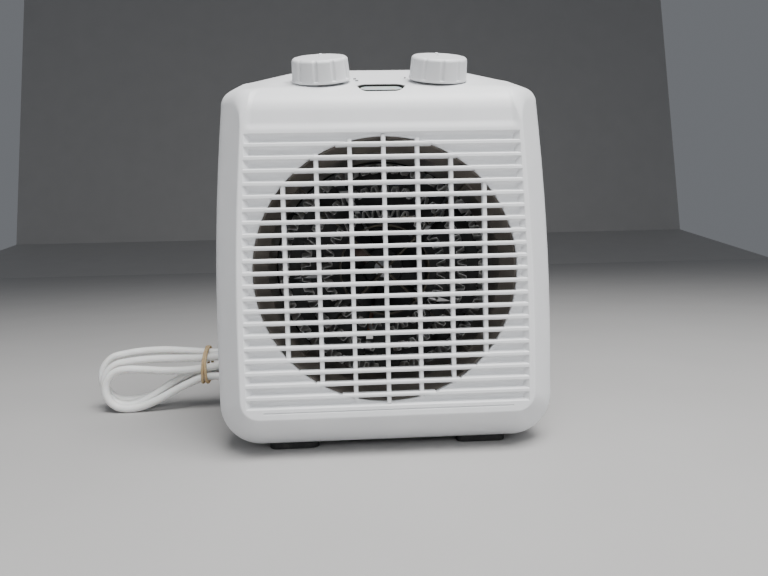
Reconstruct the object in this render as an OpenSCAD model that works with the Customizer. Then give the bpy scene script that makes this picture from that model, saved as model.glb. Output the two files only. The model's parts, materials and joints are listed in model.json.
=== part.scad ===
/*
Upright fan heater with a ribbed round outlet, two knobs on a sloping deck and a mains lead tied in a hank.
Frame: +Z up, the front faces -Y, +X is to the right seen from the front.
The origin is on the table, midway between the front panel and the back and in line with the fan.
Inside place(), y is counted back from the front panel and x and z from the fan's axis.
*/

/* [Outlet] */
// Radius of the round outlet
outlet_r = 89.5; // [74:0.5:108]
// Distance between the grille's ribs
rib_pitch = 8.4; // [6:0.1:12]
// Thickness of a rib
rib_t = 2.8; // [1.6:0.1:4]
// Distance between the upright bars in the outlet
bar_pitch = 22.4; // [14:0.1:40]
// Width of an upright bar
bar_w = 3; // [1.6:0.1:5]
// How far the upright bars sit behind the ribs
bar_back = 1.2; // [0.4:0.1:2]
// Depth of the grooves between the ribs
groove_depth = 3.6; // [2:0.1:4.5]
// Thickness of the front panel behind the grooves' face
panel_t = 6; // [5:0.1:8]
// Space from the outlet to the end of the grooves, below the fan
field_margin = 7; // [5:0.1:14]

/* [Body] */
// Front to back
body_d = 130; // [108:1:160]
// Thickness of the two shells
wall = 2.4; // [1.8:0.1:3.2]
// Space from the grooved field to the widest outline
border_w = 24; // [18:0.5:36]
// Depth over which the sloped border reaches the widest outline
border_d = 22; // [14:0.5:30]
// Border below the outlet
chin_h = 34.7; // [30:0.5:50]
// Radius of the lower corners
corner_r = 30; // [20:1:40]
// Radius of the roll between the front panel and the deck
roll_r = 21; // [16:0.5:26]
// Height of the deck's line above the outlet, at the front panel
deck_rise = 29.2; // [26:0.2:40]
// Slope of the deck
deck_a = 24.6; // [18:0.2:28]
// Fall of the shoulders beside the deck, for each mm outwards
shoulder_slope = 0.22; // [0.1:0.01:0.3]
// Distance from the highest point to the back
crest_back = 42; // [30:1:50]
// Where the two shells meet, from the front panel
part_y = 58; // [54:1:64]
// Height of a rubber foot
foot_h = 4.3; // [3:0.1:8]
// Length of a rubber foot
foot_l = 36; // [20:1:50]
// Width of a rubber foot
foot_w = 11; // [8:1:16]

/* [Controls] */
// Distance of each knob from the middle
knob_x = 40.6; // [38:0.2:50]
// Distance of the knobs' axes from the front panel
knob_y = 28; // [26:0.5:34]
// Radius of a knob at its base
knob_r = 20.3; // [17:0.1:21]
// Height of a knob
knob_h = 15.2; // [13:0.1:20]
// Outward lean of each knob
knob_lean = 2.2; // [0:0.1:4]
// Number of flutes on a knob
flutes = 10; // [6:1:16]
// Radius of a control's spindle
spindle_r = 3; // [2.5:0.1:4]
// Length of the indicator lens
lens_l = 31; // [20:0.5:34]
// Width of the indicator lens
lens_w = 13.4; // [8:0.2:15]

/* [Fan and heater] */
// Radius of the fan
fan_r = 76; // [60:0.5:77]
// Number of blades
blades = 5; // [3:1:9]
// Radius of the fan's shaft
shaft_r = 2.5; // [2:0.1:3]
// Radius of the duct's straight part, inside
duct_r = 81.5; // [79:0.5:84]
// Thickness of the duct
duct_t = 1.2; // [0.8:0.1:2]
// Number of ribbon rings
rings = 3; // [2:1:3]
// Width of the heating ribbon
ribbon_w = 6; // [4:0.5:8]
// Thickness of the mica boards
mica_t = 1.2; // [0.8:0.1:2]

/* [Clearances] */
// Running clearance of a shaft in its bore
run_gap = 0.04; // [0.02:0.01:0.08]
// Gap between a knob and the deck
knob_gap = 1.3; // [1:0.1:2]
// Gap around pieces that are only set in place
set_gap = 0.25; // [0.15:0.05:0.4]

/* [Hidden] */
$fn = 72;

white = "#e9ebee";
dark = "#2c2a29";
steel = "#aeb4ba";
EPS = 0.01;

// Outline of the body, worked out from the outlet and the borders
field_hw = outlet_r + field_margin;
rows = ceil(outlet_r / rib_pitch);
cols = floor((outlet_r - bar_w) / bar_pitch);
half_w = field_hw + border_w;
floor_z = -outlet_r - chin_h;
grille_z = foot_h - floor_z;
belly_z = floor_z + 64;
side_curve = 0.00031;
rear_round = 14;
bottom_flat_y = border_d + 3;

// The roll is tangent to the panel and to the deck
roll_y = roll_r * (1 - sin(deck_a));
deck_z0 = outlet_r + deck_rise;
roll_z = deck_z0 + tan(deck_a) * roll_y - roll_r * cos(deck_a);
crest_y = body_d - crest_back;
crest_r = 30;
crest_bend_y = crest_y - crest_r * sin(deck_a);
crest_z = deck_z0 + tan(deck_a) * crest_bend_y + crest_r * (1 - cos(deck_a));
back_drop = 46;

function deck_z(y) = deck_z0 + tan(deck_a) * y;
function top_z(y) =
    y < roll_y ? roll_z + sqrt(max(0, pow(roll_r, 2) - pow(roll_r - y, 2))) :
    y < crest_bend_y ? deck_z(y) :
    y < crest_y ? crest_z - crest_r + sqrt(pow(crest_r, 2) - pow(crest_y - y, 2)) :
    crest_z - back_drop + back_drop * sqrt(max(0, 1 - pow((y - crest_y) / crest_back, 2)));

// How far the outline is inside the widest one: the sloped border in front, the rounded edge behind
function front_in(y) =
    y < border_d ? 2 + (border_w - 6) * (1 - y / border_d) : max(0, 2 - (y - border_d) * 2 / 6);
chin_lean = 1.25;
corner_lean = 0.85;
function rear_in(y) =
    let(t = max(0, y - body_d + rear_round)) rear_round - sqrt(pow(rear_round, 2) - min(t * t, 190));
function side_in(y) = front_in(y) + rear_in(y) + 2 * max(0, y - 40) / 90;
function half_width(z) = half_w - side_curve * pow(max(0, z - belly_z), 2);

// The deck is flat across and narrows towards the back, and the shoulders slope down beside it
function deck_half(y) = field_hw - 8.5 - 0.37 * y;
function crown(x, y) =
    top_z(y) - shoulder_slope * min(1, y / 20) * max(0, x - deck_half(y));

// Right half of the section at depth y, drawn in by e: lower corner, side, shoulder, top
function half_section(y, e) =
    let(
        low = floor_z + chin_lean * front_in(y) + rear_in(y) + e,
        r = max(4, corner_r - corner_lean * front_in(y) - rear_in(y) / 2 - e),
        cx = half_width(low) - side_in(y) - e - r,
        top = top_z(y),
        sr = 11 - e / 2,
        sx = half_width(min(top - 14, 114)) - side_in(y) - e - sr,
        sz = crown(sx, y) - e - sr
    )
    concat(
        [for (a = [-90:15:0]) [cx + r * cos(a), low + r + r * sin(a)]],
        [for (k = [1:4])
            let(z = low + r + (sz - low - r) * k / 5) [half_width(z) - side_in(y) - e, z]],
        [for (a = [0:18:72]) [sx + sr * cos(a), sz + sr * sin(a)]],
        [for (x = [deck_half(y) + 2, deck_half(y), 0]) [x, crown(x, y) - e]]
    );
function section(y, e) =
    let(h = half_section(y, e))
    concat(h, [for (i = [len(h) - 2:-1:0]) [-h[i][0], h[i][1]]]);

// A smooth convex body through sections at each depth in ys
module lofted(ys, e) {
    hull() for (y = ys) translate([0, y + (y > ys[0] ? 0 : EPS), 0]) rotate([90, 0, 0])
        linear_extrude(EPS) polygon(section(y, e));
}
front_ys = [0, 1, 3, 6, 9, roll_y, border_d, border_d + 6];
mid_ys = [44, crest_bend_y, (crest_bend_y + crest_y) / 2, crest_y];
back_ys = [for (k = [1:6]) crest_y + crest_back * sin(15 * k)];
skin_ys = concat(front_ys, mid_ys, back_ys);
hollow_ys = concat(
    [panel_t, 9, roll_y, border_d, border_d + 6], mid_ys,
    [for (k = [1:5]) crest_y + crest_back * sin(15 * k) - wall * k / 5], [body_d - wall]
);

module place() translate([0, -body_d / 2, grille_z]) children();
// A round bar along y
module bar_y(r, y0, y1) translate([0, y0, 0]) rotate([-90, 0, 0]) cylinder(r = r, h = y1 - y0);
module tube_y(r_out, r_in, y0, y1) difference() {
    bar_y(r_out, y0, y1);
    bar_y(r_in, y0 - 1, y1 + 1);
}
module box(x0, x1, y0, y1, z0, z1) translate([x0, y0, z0]) cube([x1 - x0, y1 - y0, z1 - z0]);
module pill(l, w, h) linear_extrude(h) {
    square([l - w, w], center = true);
    for (s = [-1, 1]) translate([s * (l - w) / 2, 0]) circle(d = w);
}

// Shells ------------------------------------------------------------------------------------------
screw_x = half_w - 27;
screw_top_z = roll_z - 10;
screw_low_z = floor_z + 27;
screw_seat_y = body_d - 24;
module at_screws() for (sx = [-1, 1], z = [screw_low_z, screw_top_z])
    translate([sx * (z > 0 ? screw_x - 7 : screw_x), 0, z]) children();

duct_lug_r = outlet_r + 8.5;
duct_front_y = panel_t + 0.6;
duct_lug_y = 18;
module at_duct_lugs() for (a = [45:90:315]) rotate([0, a, 0]) translate([duct_lug_r, 0, 0]) children();

// The deck's own frames: each knob's axis is +z, and the deck's outer face is z = 0
module at_knob(side) translate([side * knob_x, knob_y, deck_z(knob_y)])
    rotate([deck_a, 0, 0]) rotate([0, side * knob_lean, 0]) children();
lens_low_y = 6;
lens_high_y = lens_low_y + lens_w;
lens_tilt = atan((top_z(lens_high_y) - top_z(lens_low_y)) / (lens_high_y - lens_low_y));
module at_lens() translate([0, (lens_low_y + lens_high_y) / 2, (top_z(lens_low_y) + top_z(lens_high_y)) / 2])
    rotate([lens_tilt, 0, 0]) children();
control_ear_x = 15;
control_post_h = 5;

function field_edge(z) = field_hw - 0.8 * side_curve * pow(max(0, z - belly_z), 2);
gap = rib_pitch - rib_t;
// The groove under the rib at height z, as [y, z] points: it is deepest low down
function groove(z) =
    let(top = z - rib_t / 2, low = top - gap, d = groove_depth)
    [[-1, top], [0, top], [0.6 * d, top - 0.12 * gap], [d, top - 0.42 * gap],
        [d, low + 0.22 * gap], [0.6 * d, low + 0.1 * gap], [0, low], [-1, low]];
// What holds the grooves: its sides follow the border and close in at 45 degrees
module field() {
    zs = [-rows * rib_pitch, belly_z, belly_z / 3, outlet_r / 4, rows * rib_pitch];
    n = len(zs) - 1;
    polyhedron(
        points = [for (z = zs) each [for (s = [[-1, -1], [1, -1], [1, 1], [-1, 1]])
            [s[0] * (field_edge(z) - (s[1] > 0 ? groove_depth + 1 : -2)), s[1] > 0 ? groove_depth + 1 : -2, z]]],
        faces = concat([[0, 1, 2, 3]], [[for (k = [3:-1:0]) 4 * n + k]],
            [for (i = [0:n - 1], k = [0:3])
                [4 * i + 4 + k, 4 * i + 4 + (k + 1) % 4, 4 * i + (k + 1) % 4, 4 * i + k]])
    );
}
module field_cut() {
    intersection() {
        rotate([90, 0, 90]) linear_extrude(2 * half_w, center = true)
            for (i = [1 - rows:rows]) polygon(groove(i * rib_pitch));
        field();
    }
    // a fine line under the lowest rib
    line_z = -rows * rib_pitch - rib_t / 2;
    box(12 - field_hw, field_hw - 12, -1, 0.7, line_z - 1, line_z);
}
// A rib's section, from its rounded crest back to its foot
module rib(l, depth) rotate([90, 0, 90]) linear_extrude(l, center = true)
    polygon(concat(
        [for (a = [0:45:180]) [rib_t / 2 - rib_t / 2 * sin(a), rib_t / 2 * cos(a)]],
        [[depth, -rib_t / 2], [depth, rib_t / 2]]
    ));
module ribs() for (i = [-rows:rows]) translate([0, 0, i * rib_pitch]) {
    inside = pow(outlet_r, 2) - pow(i * rib_pitch, 2);
    if (inside > 0) rib(2 * sqrt(inside) + 2, panel_t - 0.4);
}
module upright_bars() for (j = [-cols:cols]) {
    h = sqrt(pow(outlet_r, 2) - pow(j * bar_pitch, 2)) + 1;
    box(j * bar_pitch - bar_w / 2, j * bar_pitch + bar_w / 2, bar_back, panel_t - 0.8, -h, h);
}

module front_casing() color(white) place() {
    difference() {
        lofted(skin_ys, 0);
        difference() {
            lofted(hollow_ys, wall);
            // bosses and posts are what the hollow leaves standing
            at_screws() bar_y(4.6, 0, part_y);
            at_duct_lugs() bar_y(4, 0, duct_lug_y - set_gap);
            for (s = [-1, 1]) at_knob(s) for (e = [-1, 1])
                translate([e * control_ear_x, 0, -wall - control_post_h]) cylinder(r = 3.2, h = 12);
        }
        box(-half_w - 1, half_w + 1, part_y, body_d + 1, floor_z - 1, crest_z + 1);
        field_cut();
        bar_y(outlet_r, -1, panel_t + 1);
        at_screws() bar_y(1.5, part_y - 20, part_y + 1);
        at_duct_lugs() bar_y(1.2, 8, duct_lug_y + 1);
        for (s = [-1, 1]) at_knob(s) {
            translate([0, 0, -12]) cylinder(r = spindle_r + 2, h = 16);
            for (e = [-1, 1]) translate([e * control_ear_x, 0, -wall - control_post_h - 1]) cylinder(r = 1.2, h = 6);
        }
        at_lens() translate([0, 0, -8]) pill(lens_l + 2 * set_gap + 0.5, lens_w + 2 * set_gap + 0.5, 16);
        at_feet() cylinder(r = 2.6, h = 12, center = true);
    }
    ribs();
    upright_bars();
}

slot_t = 3.6;
slot_pitch = 8;
intake_r = outlet_r - 14;
module intake_slots() for (i = [-floor(intake_r / slot_pitch):floor(intake_r / slot_pitch)], s = [-1, 1]) {
    z = i * slot_pitch;
    half = sqrt(max(0, pow(intake_r, 2) - z * z));
    if (half > 14)
        box(s > 0 ? 3 : -half, s > 0 ? half : -3, body_d - 12, body_d + 2, z - slot_t / 2, z + slot_t / 2);
}
gland_x = 20;
gland_z = floor_z + 34.2;
gland_r = 6.4;
module rear_casing() color(white) place() difference() {
    lofted(skin_ys, 0);
    difference() {
        lofted(hollow_ys, wall);
        at_screws() bar_y(7, screw_seat_y - 4, body_d);
        at_screws() bar_y(4.6, part_y, screw_seat_y);
    }
    box(-half_w - 1, half_w + 1, -1, part_y + 0.15, floor_z - 1, crest_z + 1);
    at_screws() bar_y(2.2, part_y - 1, body_d);
    at_screws() bar_y(4.8, screw_seat_y, body_d + 1);
    intake_slots();
    translate([gland_x, 0, gland_z]) bar_y(gland_r + set_gap, body_d - 10, body_d + 1);
    at_feet() cylinder(r = 2.6, h = 12, center = true);
}

foot_x = half_w - 52;
foot_ys = [bottom_flat_y + 8, body_d - rear_round - 10];
module at_feet() for (sx = [-1, 1], y = foot_ys) translate([sx * foot_x, y, floor_z]) children();
module rubber_feet() color("#242424") place() at_feet() {
    translate([0, 0, -foot_h]) pill(foot_l, foot_w, foot_h);
    translate([0, 0, -EPS]) cylinder(r = 2.5, h = wall + 1);
    translate([0, 0, wall + 0.3]) cylinder(r1 = 3.4, r2 = 2.4, h = 1.6);
}

module casing_screws() color(steel) place() at_screws() difference() {
    union() {
        bar_y(1.45, part_y - 16, screw_seat_y + 0.5);
        bar_y(3.6, screw_seat_y + EPS, screw_seat_y + 2.6);
    }
    box(-0.6, 0.6, screw_seat_y + 1.4, screw_seat_y + 4, -2.6, 2.6);
    box(-2.6, 2.6, screw_seat_y + 1.4, screw_seat_y + 4, -0.6, 0.6);
}

// Indicator ---------------------------------------------------------------------------------------
module indicator_lens() color("#dfe3e2", 0.8) place() at_lens() {
    translate([0, 0, -4]) pill(lens_l, lens_w, 3.7);
    translate([0, 0, -5.6]) pill(lens_l + 5, lens_w + 3, 1.6);
}
module indicator_lamp() color("#d98a4a") place() at_lens() {
    translate([-7, 0, -11]) rotate([0, 90, 0]) cylinder(r = 3, h = 14);
    translate([7, 0, -11]) sphere(r = 3);
    for (s = [-1, 1]) translate([-12, s * 1.2, -11]) rotate([0, 90, 0]) cylinder(r = 0.4, h = 6);
}

// Heater ------------------------------------------------------------------------------------------
duct_back_y = 66;
duct_wide_r = outlet_r - 1;
module heater_duct() color(dark) place() difference() {
    union() {
        rotate([-90, 0, 0]) rotate_extrude() polygon([
            [duct_wide_r, duct_front_y], [duct_wide_r + duct_t, duct_front_y],
            [duct_r + duct_t, 21], [duct_r + duct_t, duct_back_y - 2], [duct_r + 6, duct_back_y - 2],
            [duct_r + 6, duct_back_y], [duct_r, duct_back_y], [duct_r, 21]
        ]);
        for (a = [45:90:315]) rotate([0, a, 0])
            box(duct_r + duct_t / 2, duct_lug_r + 4, duct_lug_y, duct_lug_y + 2, -5, 5);
    }
    at_duct_lugs() bar_y(1.7, 0, duct_back_y);
    for (a = [90:120:330]) rotate([0, a, 0]) translate([duct_r + 3.4, 0, 0]) bar_y(1.2, 50, duct_back_y + 1);
}
module duct_screws() color(steel) place() {
    at_duct_lugs() {
        bar_y(1.15, 10, duct_lug_y + 2.2);
        bar_y(3, duct_lug_y + 2 + EPS, duct_lug_y + 4);
    }
    for (a = [90:120:330]) rotate([0, a, 0]) translate([duct_r + 3.4, 0, 0]) {
        bar_y(1.15, duct_back_y - 4, duct_back_y + 3.2);
        bar_y(2.4, duct_back_y + 2.5 + EPS, duct_back_y + 4.2);
    }
}

ribbon_y = 22;
ribbon_t = 0.5;
ribbon_swing = 3;
function ring_r(k) = duct_r - 10.5 - 15 * k;
board_y0 = ribbon_y - 4;
board_y1 = ribbon_y + 18;
// Crinkled ribbon round the fan's axis, open where its two ends are
module ribbon(r) {
    n = 2 * round(r * 0.85);
    out = [for (i = [0:n]) let(a = 6 + 348 * i / n, q = r + (i % 2 == 0 ? 1 : -1) * ribbon_swing)
        [a, q]];
    translate([0, ribbon_y + ribbon_w, 0]) rotate([90, 0, 0]) linear_extrude(ribbon_w) polygon(concat(
        [for (p = out) (p[1] + ribbon_t / 2) * [sin(p[0]), -cos(p[0])]],
        [for (i = [n:-1:0]) (out[i][1] - ribbon_t / 2) * [sin(out[i][0]), -cos(out[i][0])]]
    ));
}
module outer_ribbon() color("#8d8a86") place() ribbon(ring_r(0));
module middle_ribbon() color("#8d8a86") place() ribbon(ring_r(1));
module inner_ribbon() color("#8d8a86") place() ribbon(ring_r(2));

module mica_frame() color("#8f8463") place() difference() {
    union() {
        for (a = [45, 135]) rotate([0, a, 0])
            box(-duct_r + set_gap, duct_r - set_gap, board_y0, board_y1, -mica_t / 2, mica_t / 2);
        tube_y(ring_r(2) - 9, ring_r(2) - 10, board_y0 + 4, board_y1);
    }
    for (k = [0:rings - 1]) tube_y(ring_r(k) + ribbon_swing + 0.6, ring_r(k) - ribbon_swing - 0.6,
        board_y0 - 1, ribbon_y + ribbon_w + set_gap);
}

terminal_z = -ring_r(1) - 8;
module element_terminals() color("#b8a25a") place() for (s = [-1, 0, 1])
    translate([s * 9, 0, terminal_z]) {
        box(-2.4, 2.4, ribbon_y + ribbon_w + 1, ribbon_y + ribbon_w + 13, -0.4, 0.4);
        translate([0, ribbon_y + ribbon_w + 5, -1.6]) cylinder(r = 1.2, h = 3.2);
    }
// The cut-out lies flat against the upper left mica board, inside the ribbons
module thermal_cutout() color("#3b3633") place() rotate([0, 225, 0])
    translate([ring_r(2) - 21, board_y1 - 9, mica_t / 2 + EPS]) {
        cylinder(r = 8, h = 6);
        for (s = [-1, 1]) box(s * 5 - 1.5, s * 5 + 1.5, 7, 14, 2.6, 3.4);
    }
module thermal_fuse() color("#c9c4b4") place() translate([14, board_y1 - 6, 36]) rotate([0, 90, 0]) {
    cylinder(r = 2, h = 11);
    translate([0, 0, -6]) cylinder(r = 0.5, h = 23);
}

// Fan and motor -----------------------------------------------------------------------------------
mount_y = duct_back_y + EPS;
mount_t = 2.5;
stator_y = 76;
stator_l = 18;
bracket_t = 1.6;
bracket_gap = 4;
bracket_y0 = stator_y - bracket_gap - bracket_t;
bracket_y1 = stator_y + stator_l + bracket_gap;
bracket_x = 22;
rotor_r = 14.5;
bush_r = 4;
screw_r = 1.9;

module motor_mount() color("#3a3a3c") place() difference() {
    union() {
        tube_y(duct_r + 6, duct_r - 1, mount_y, mount_y + mount_t);
        bar_y(30, mount_y, mount_y + mount_t);
        for (a = [90:120:330]) rotate([0, a, 0]) box(20, duct_r, mount_y, mount_y + mount_t, -5, 5);
    }
    bar_y(8, mount_y - 1, mount_y + mount_t + 1);
    for (s = [-1, 1]) translate([s * bracket_x, 0, 0]) bar_y(screw_r + 0.2, 0, body_d);
    for (a = [90:120:330]) rotate([0, a, 0]) translate([duct_r + 3.4, 0, 0]) bar_y(1.5, 50, body_d);
}
leg_z = -46;
window_z = -36;
module motor_stator() color("#6d7075") place() difference() {
    box(-28, 28, stator_y, stator_y + stator_l, leg_z, 22);
    bar_y(rotor_r + 0.5, 0, body_d);
    box(-14, 14, 0, body_d, window_z, -19);
    for (s = [-1, 1]) {
        translate([s * bracket_x, 0, 0]) bar_y(screw_r + 0.2, 0, body_d);
        box(s > 0 ? 14.6 : -28.1, s > 0 ? 28.1 : -14.6, 0, body_d, 18.5, 22.1);
    }
}
module motor_coil() color("#8a3b22") place() difference() {
    box(-13.2, 13.2, stator_y - 6, stator_y + stator_l + 6, leg_z - 7, window_z + 8);
    box(-14, 14, stator_y - set_gap, stator_y + stator_l + set_gap, leg_z - set_gap, window_z + set_gap);
}
// A strap with two bent feet and a hub that holds the bush; grow says which way the feet point
module bracket(y, feet_y0, feet_y1) difference() {
    union() {
        box(-27, 27, y, y + bracket_t, -7, 7);
        for (s = [-1, 1]) box(s > 0 ? 18 : -27, s > 0 ? 27 : -18, feet_y0, feet_y1, -7, 7);
        bar_y(bush_r + 2.4, y - 1.4, y + bracket_t + 1.4);
    }
    bar_y(bush_r + 0.02, y - 4, y + 6);
    for (s = [-1, 1]) translate([s * bracket_x, 0, 0]) bar_y(screw_r + 0.2, 0, body_d);
}
module front_bracket() color(steel) place() bracket(bracket_y0, bracket_y0, stator_y - EPS);
module rear_bracket() color(steel) place() bracket(bracket_y1, stator_y + stator_l + EPS, bracket_y1 + bracket_t);
module motor_bushes() color("#a67c3d") place() for (y = [bracket_y0, bracket_y1])
    tube_y(bush_r, shaft_r + run_gap, y - 1.4, y + bracket_t + 1.4);
module motor_screws() color(steel) place() for (s = [-1, 1]) translate([s * bracket_x, 0, 0]) {
    bar_y(screw_r, mount_y - 0.5, bracket_y1 + bracket_t + 3);
    bar_y(3.4, mount_y - 2.6, mount_y - EPS);
    translate([0, bracket_y1 + bracket_t + EPS, 0]) rotate([-90, 0, 0]) cylinder(r = 3.6, h = 2.4, $fn = 6);
}
module motor_rotor() color("#8f949a") place() difference() {
    bar_y(rotor_r, stator_y, stator_y + stator_l);
    bar_y(shaft_r + 0.02, 0, body_d);
}
fan_y = 46;
hub_l = 15;
hub_r = 15;
module motor_shaft() color("#c8ccd0") place() bar_y(shaft_r, fan_y - 5, bracket_y1 + bracket_t + 2.2);
module fan_impeller() color("#b9bcbf") place() difference() {
    union() {
        bar_y(hub_r, fan_y, fan_y + hub_l);
        intersection() {
            for (k = [0:blades - 1]) rotate([0, k * 360 / blades, 0]) translate([0, fan_y + hub_l / 2, 0])
                rotate([28, 0, 0]) box(hub_r - 2, fan_r + 5, -0.9, 0.9, -15, 15);
            bar_y(fan_r, fan_y - 2, fan_y + hub_l + 2);
        }
    }
    bar_y(shaft_r + 0.02, fan_y - 4, fan_y + hub_l + 4);
    tube_y(hub_r - 2, 6, fan_y + 3, fan_y + hub_l + 4);
}
module fan_clip() color(steel) place() tube_y(6.5, shaft_r + 0.02, fan_y - 1.2, fan_y - 0.05);

// Controls ----------------------------------------------------------------------------------------
control_top = -wall - control_post_h - 1.7;
module control_body(w, d, h) difference() {
    union() {
        translate([-w / 2, -d / 2, control_top - h]) cube([w, d, h]);
        translate([-control_ear_x - 4, -5, control_top]) cube([2 * control_ear_x + 8, 10, 1.5]);
        translate([0, 0, control_top - 1]) cylinder(r = spindle_r + 2.6, h = 4.6);
    }
    translate([0, 0, control_top - 7]) cylinder(r = spindle_r + run_gap, h = 20);
    for (e = [-1, 1]) translate([e * control_ear_x, 0, control_top - 4]) cylinder(r = 1.5, h = 12);
}
module thermostat_body() color("#d8cfb8") place() at_knob(-1) {
    control_body(22, 24, 13);
    translate([-9, 12, control_top - 9]) cube([18, 7, 1]);
}
module switch_body() color("#3a3a3c") place() at_knob(1) control_body(24, 26, 20);
module spindle() {
    translate([0, 0, control_top - 6.8]) cylinder(r = spindle_r, h = knob_gap + 11 - control_top + 6.8);
}
module thermostat_spindle() color("#c9a96a") place() at_knob(-1) spindle();
module switch_spindle() color("#ece8dd") place() at_knob(1) spindle();

knob_top_r = knob_r - 1.1;
knob_edge = 2.2;
// A knob with flutes round its side, hollow underneath, and a raised line on top that points away
module knob() difference() {
    union() {
        translate([0, 0, knob_gap]) rotate_extrude() polygon(concat(
            [[0, 0], [knob_r, 0], [knob_r, 1.4]],
            [for (a = [0:15:90])
                [knob_top_r - knob_edge + knob_edge * cos(a), knob_h - knob_edge + knob_edge * sin(a)]],
            [[0, knob_h]]
        ));
        translate([-1, 4, knob_gap + knob_h - 0.5]) cube([2, knob_top_r - 7, 1.1]);
    }
    for (k = [0:flutes - 1]) rotate([0, 0, 360 / flutes * (k + 0.5)])
        translate([knob_r + 1.6, 0, knob_gap + 1.4]) cylinder(r = 2.8, h = knob_h + 1);
    difference() {
        translate([0, 0, knob_gap - 1]) cylinder(r = knob_top_r - 4, h = knob_h - 1.2);
        translate([0, 0, knob_gap - 2]) cylinder(r = spindle_r + 3, h = knob_h);
    }
    translate([0, 0, knob_gap - 2]) cylinder(r = spindle_r + 0.02, h = 13.4);
    translate([0, 0, knob_gap - 1]) cylinder(r = spindle_r + 3.2, h = 2.4);
}
module thermostat_knob() color("#e2e3e4") place() at_knob(-1) knob();
module switch_knob() color("#e2e3e4") place() at_knob(1) knob();
module control_screws() color(steel) place() for (s = [-1, 1]) at_knob(s) for (e = [-1, 1])
    translate([e * control_ear_x, 0, control_top]) {
        translate([0, 0, -0.5]) cylinder(r = 1.15, h = 6.4);
        translate([0, 0, -2.2 - EPS]) cylinder(r = 2.5, h = 2.2);
    }

// Wiring and lead ---------------------------------------------------------------------------------
block_y = body_d - 44;
block_x = 36;
module terminal_block() color("#e6e2d6") place() difference() {
    box(block_x, block_x + 40, block_y, block_y + 14, floor_z + wall + 0.3, floor_z + wall + 16);
    for (k = [0:3]) translate([block_x + 5 + 10 * k, 0, floor_z + wall + 8]) bar_y(2, block_y - 1, block_y + 15);
}
wire_r = 1.2;
wire_x = half_w - 15;
wire_z0 = floor_z + wall + 8;
wire_y = block_y - 14;
wire_boss_x = screw_x - 20;
module wiring_loom() color("#7a4a2c") place() {
    for (k = [0, 1]) swept([
        [block_x + 25 + 10 * k, block_y - 2, wire_z0], [block_x + 32 + 8 * k, wire_y - 5 * k, wire_z0 + 6],
        [wire_x - 6, wire_y - 5 * k, -outlet_r + 20], [wire_x - 7, wire_y - 5 * k, 20],
        [wire_x - 12, wire_y - 5 * k, screw_top_z - 35], [wire_boss_x, wire_y - 5 * k, screw_top_z - 7],
        [wire_boss_x - 4, wire_y - 2 - 5 * k, roll_z - 4], [knob_x + 20, wire_y - 10 - 5 * k, roll_z - 2]
    ], wire_r, 8);
    swept([
        [block_x + 5, block_y - 2, wire_z0], [block_x + 1, wire_y + 2, wire_z0 + 8],
        [-30, wire_y + 2, wire_z0 + 8], [-60, wire_y + 2, -outlet_r + 5],
        [-wire_x + 8, wire_y + 2, -30], [-wire_x + 8, wire_y + 2, 30], [-wire_x + 12, wire_y + 2, screw_top_z - 35],
        [-wire_boss_x, wire_y + 2, screw_top_z - 7], [-wire_boss_x + 4, wire_y, roll_z - 4],
        [-knob_x - 20, wire_y - 6, roll_z - 2]
    ], wire_r, 8);
}
clamp_y = body_d - 26;
module cord_clamp() color("#e6e2d6") place() translate([gland_x, 0, gland_z]) difference() {
    box(-12, 12, clamp_y, clamp_y + 9, -cord_r - 3, cord_r + 3);
    bar_y(cord_r + 0.1, clamp_y - 1, clamp_y + 10);
}

// The lead: its points are in the part's own frame, so they stay put when the body changes
cord_r = 3.5;
gland_len = 26;
gland_base_y = body_d / 2;
module cord_gland() color(white) translate([gland_x, gland_base_y, grille_z + gland_z]) {
    bar_y(gland_r, -8, 2);
    bar_y(gland_r + 1.6, -8, -wall - set_gap);
    bar_y(gland_r + 1.6, EPS, 2);
    translate([0, 2 - EPS, 0]) rotate([-90, 0, 0]) cylinder(r1 = gland_r - 0.6, r2 = cord_r + 0.7, h = gland_len - 2);
}
lead_points = [
    [20, 91, 38.5], [20, 98, 38.5], [17.5, 106.5, 37.6], [12, 113.5, 35.8], [6, 118, 34], [-1, 121, 32],
    [-8, 122, 30], [-15, 121, 28.5], [-22, 118, 27.2], [-29, 113, 26.2], [-36, 107.5, 25.6], [-43, 102.4, 25.8],
    [-51, 98.3, 27.2], [-60, 96.2, 28.9], [-67, 96, 29.5], [-73.9, 96, 29.5]
];
tail_points = [
    [-75.5, 75, 20], [-68, 75.4, 18], [-60, 76.6, 14.8], [-51, 78.6, 10.5], [-42, 81, 6.8], [-33, 83.2, 4.6],
    [-23, 85, 3.8], [-12, 87, 3.8], [0, 89, 4.4], [11, 90.4, 6.8], [21, 91, 10.6], [30, 91, 14.2], [36, 91, 16],
    [42, 91, 16]
];
function unit(v) = v / norm(v);
function way(p, i) = unit(p[min(i + 1, len(p) - 1)] - p[max(i - 1, 0)]);
// Each ring stands square to the path there; paths never run straight up
function ring_points(p, i, r, n) =
    let(t = way(p, i), u = unit(cross([0.1, -0.3, 1], t)), v = cross(t, u))
    [for (k = [0:n - 1]) p[i] + r * (cos(k * 360 / n) * u + sin(k * 360 / n) * v)];
// A round cord or wire along the points p
module swept(p, r, n) polyhedron(
    points = [for (i = [0:len(p) - 1]) each ring_points(p, i, r, n)],
    faces = concat(
        [[for (k = [0:n - 1]) k]],
        [for (i = [0:len(p) - 2], k = [0:n - 1]) [i * n + k, (i + 1) * n + k, i * n + (k + 1) % n]],
        [for (i = [0:len(p) - 2], k = [0:n - 1])
            [(i + 1) * n + k, (i + 1) * n + (k + 1) % n, i * n + (k + 1) % n]],
        [[for (k = [n - 1:-1:0]) (len(p) - 1) * n + k]]
    )
);
module cord_lead() color(white) swept(lead_points, cord_r, 10);
module cord_tail() color(white) swept(tail_points, cord_r, 10);

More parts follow.
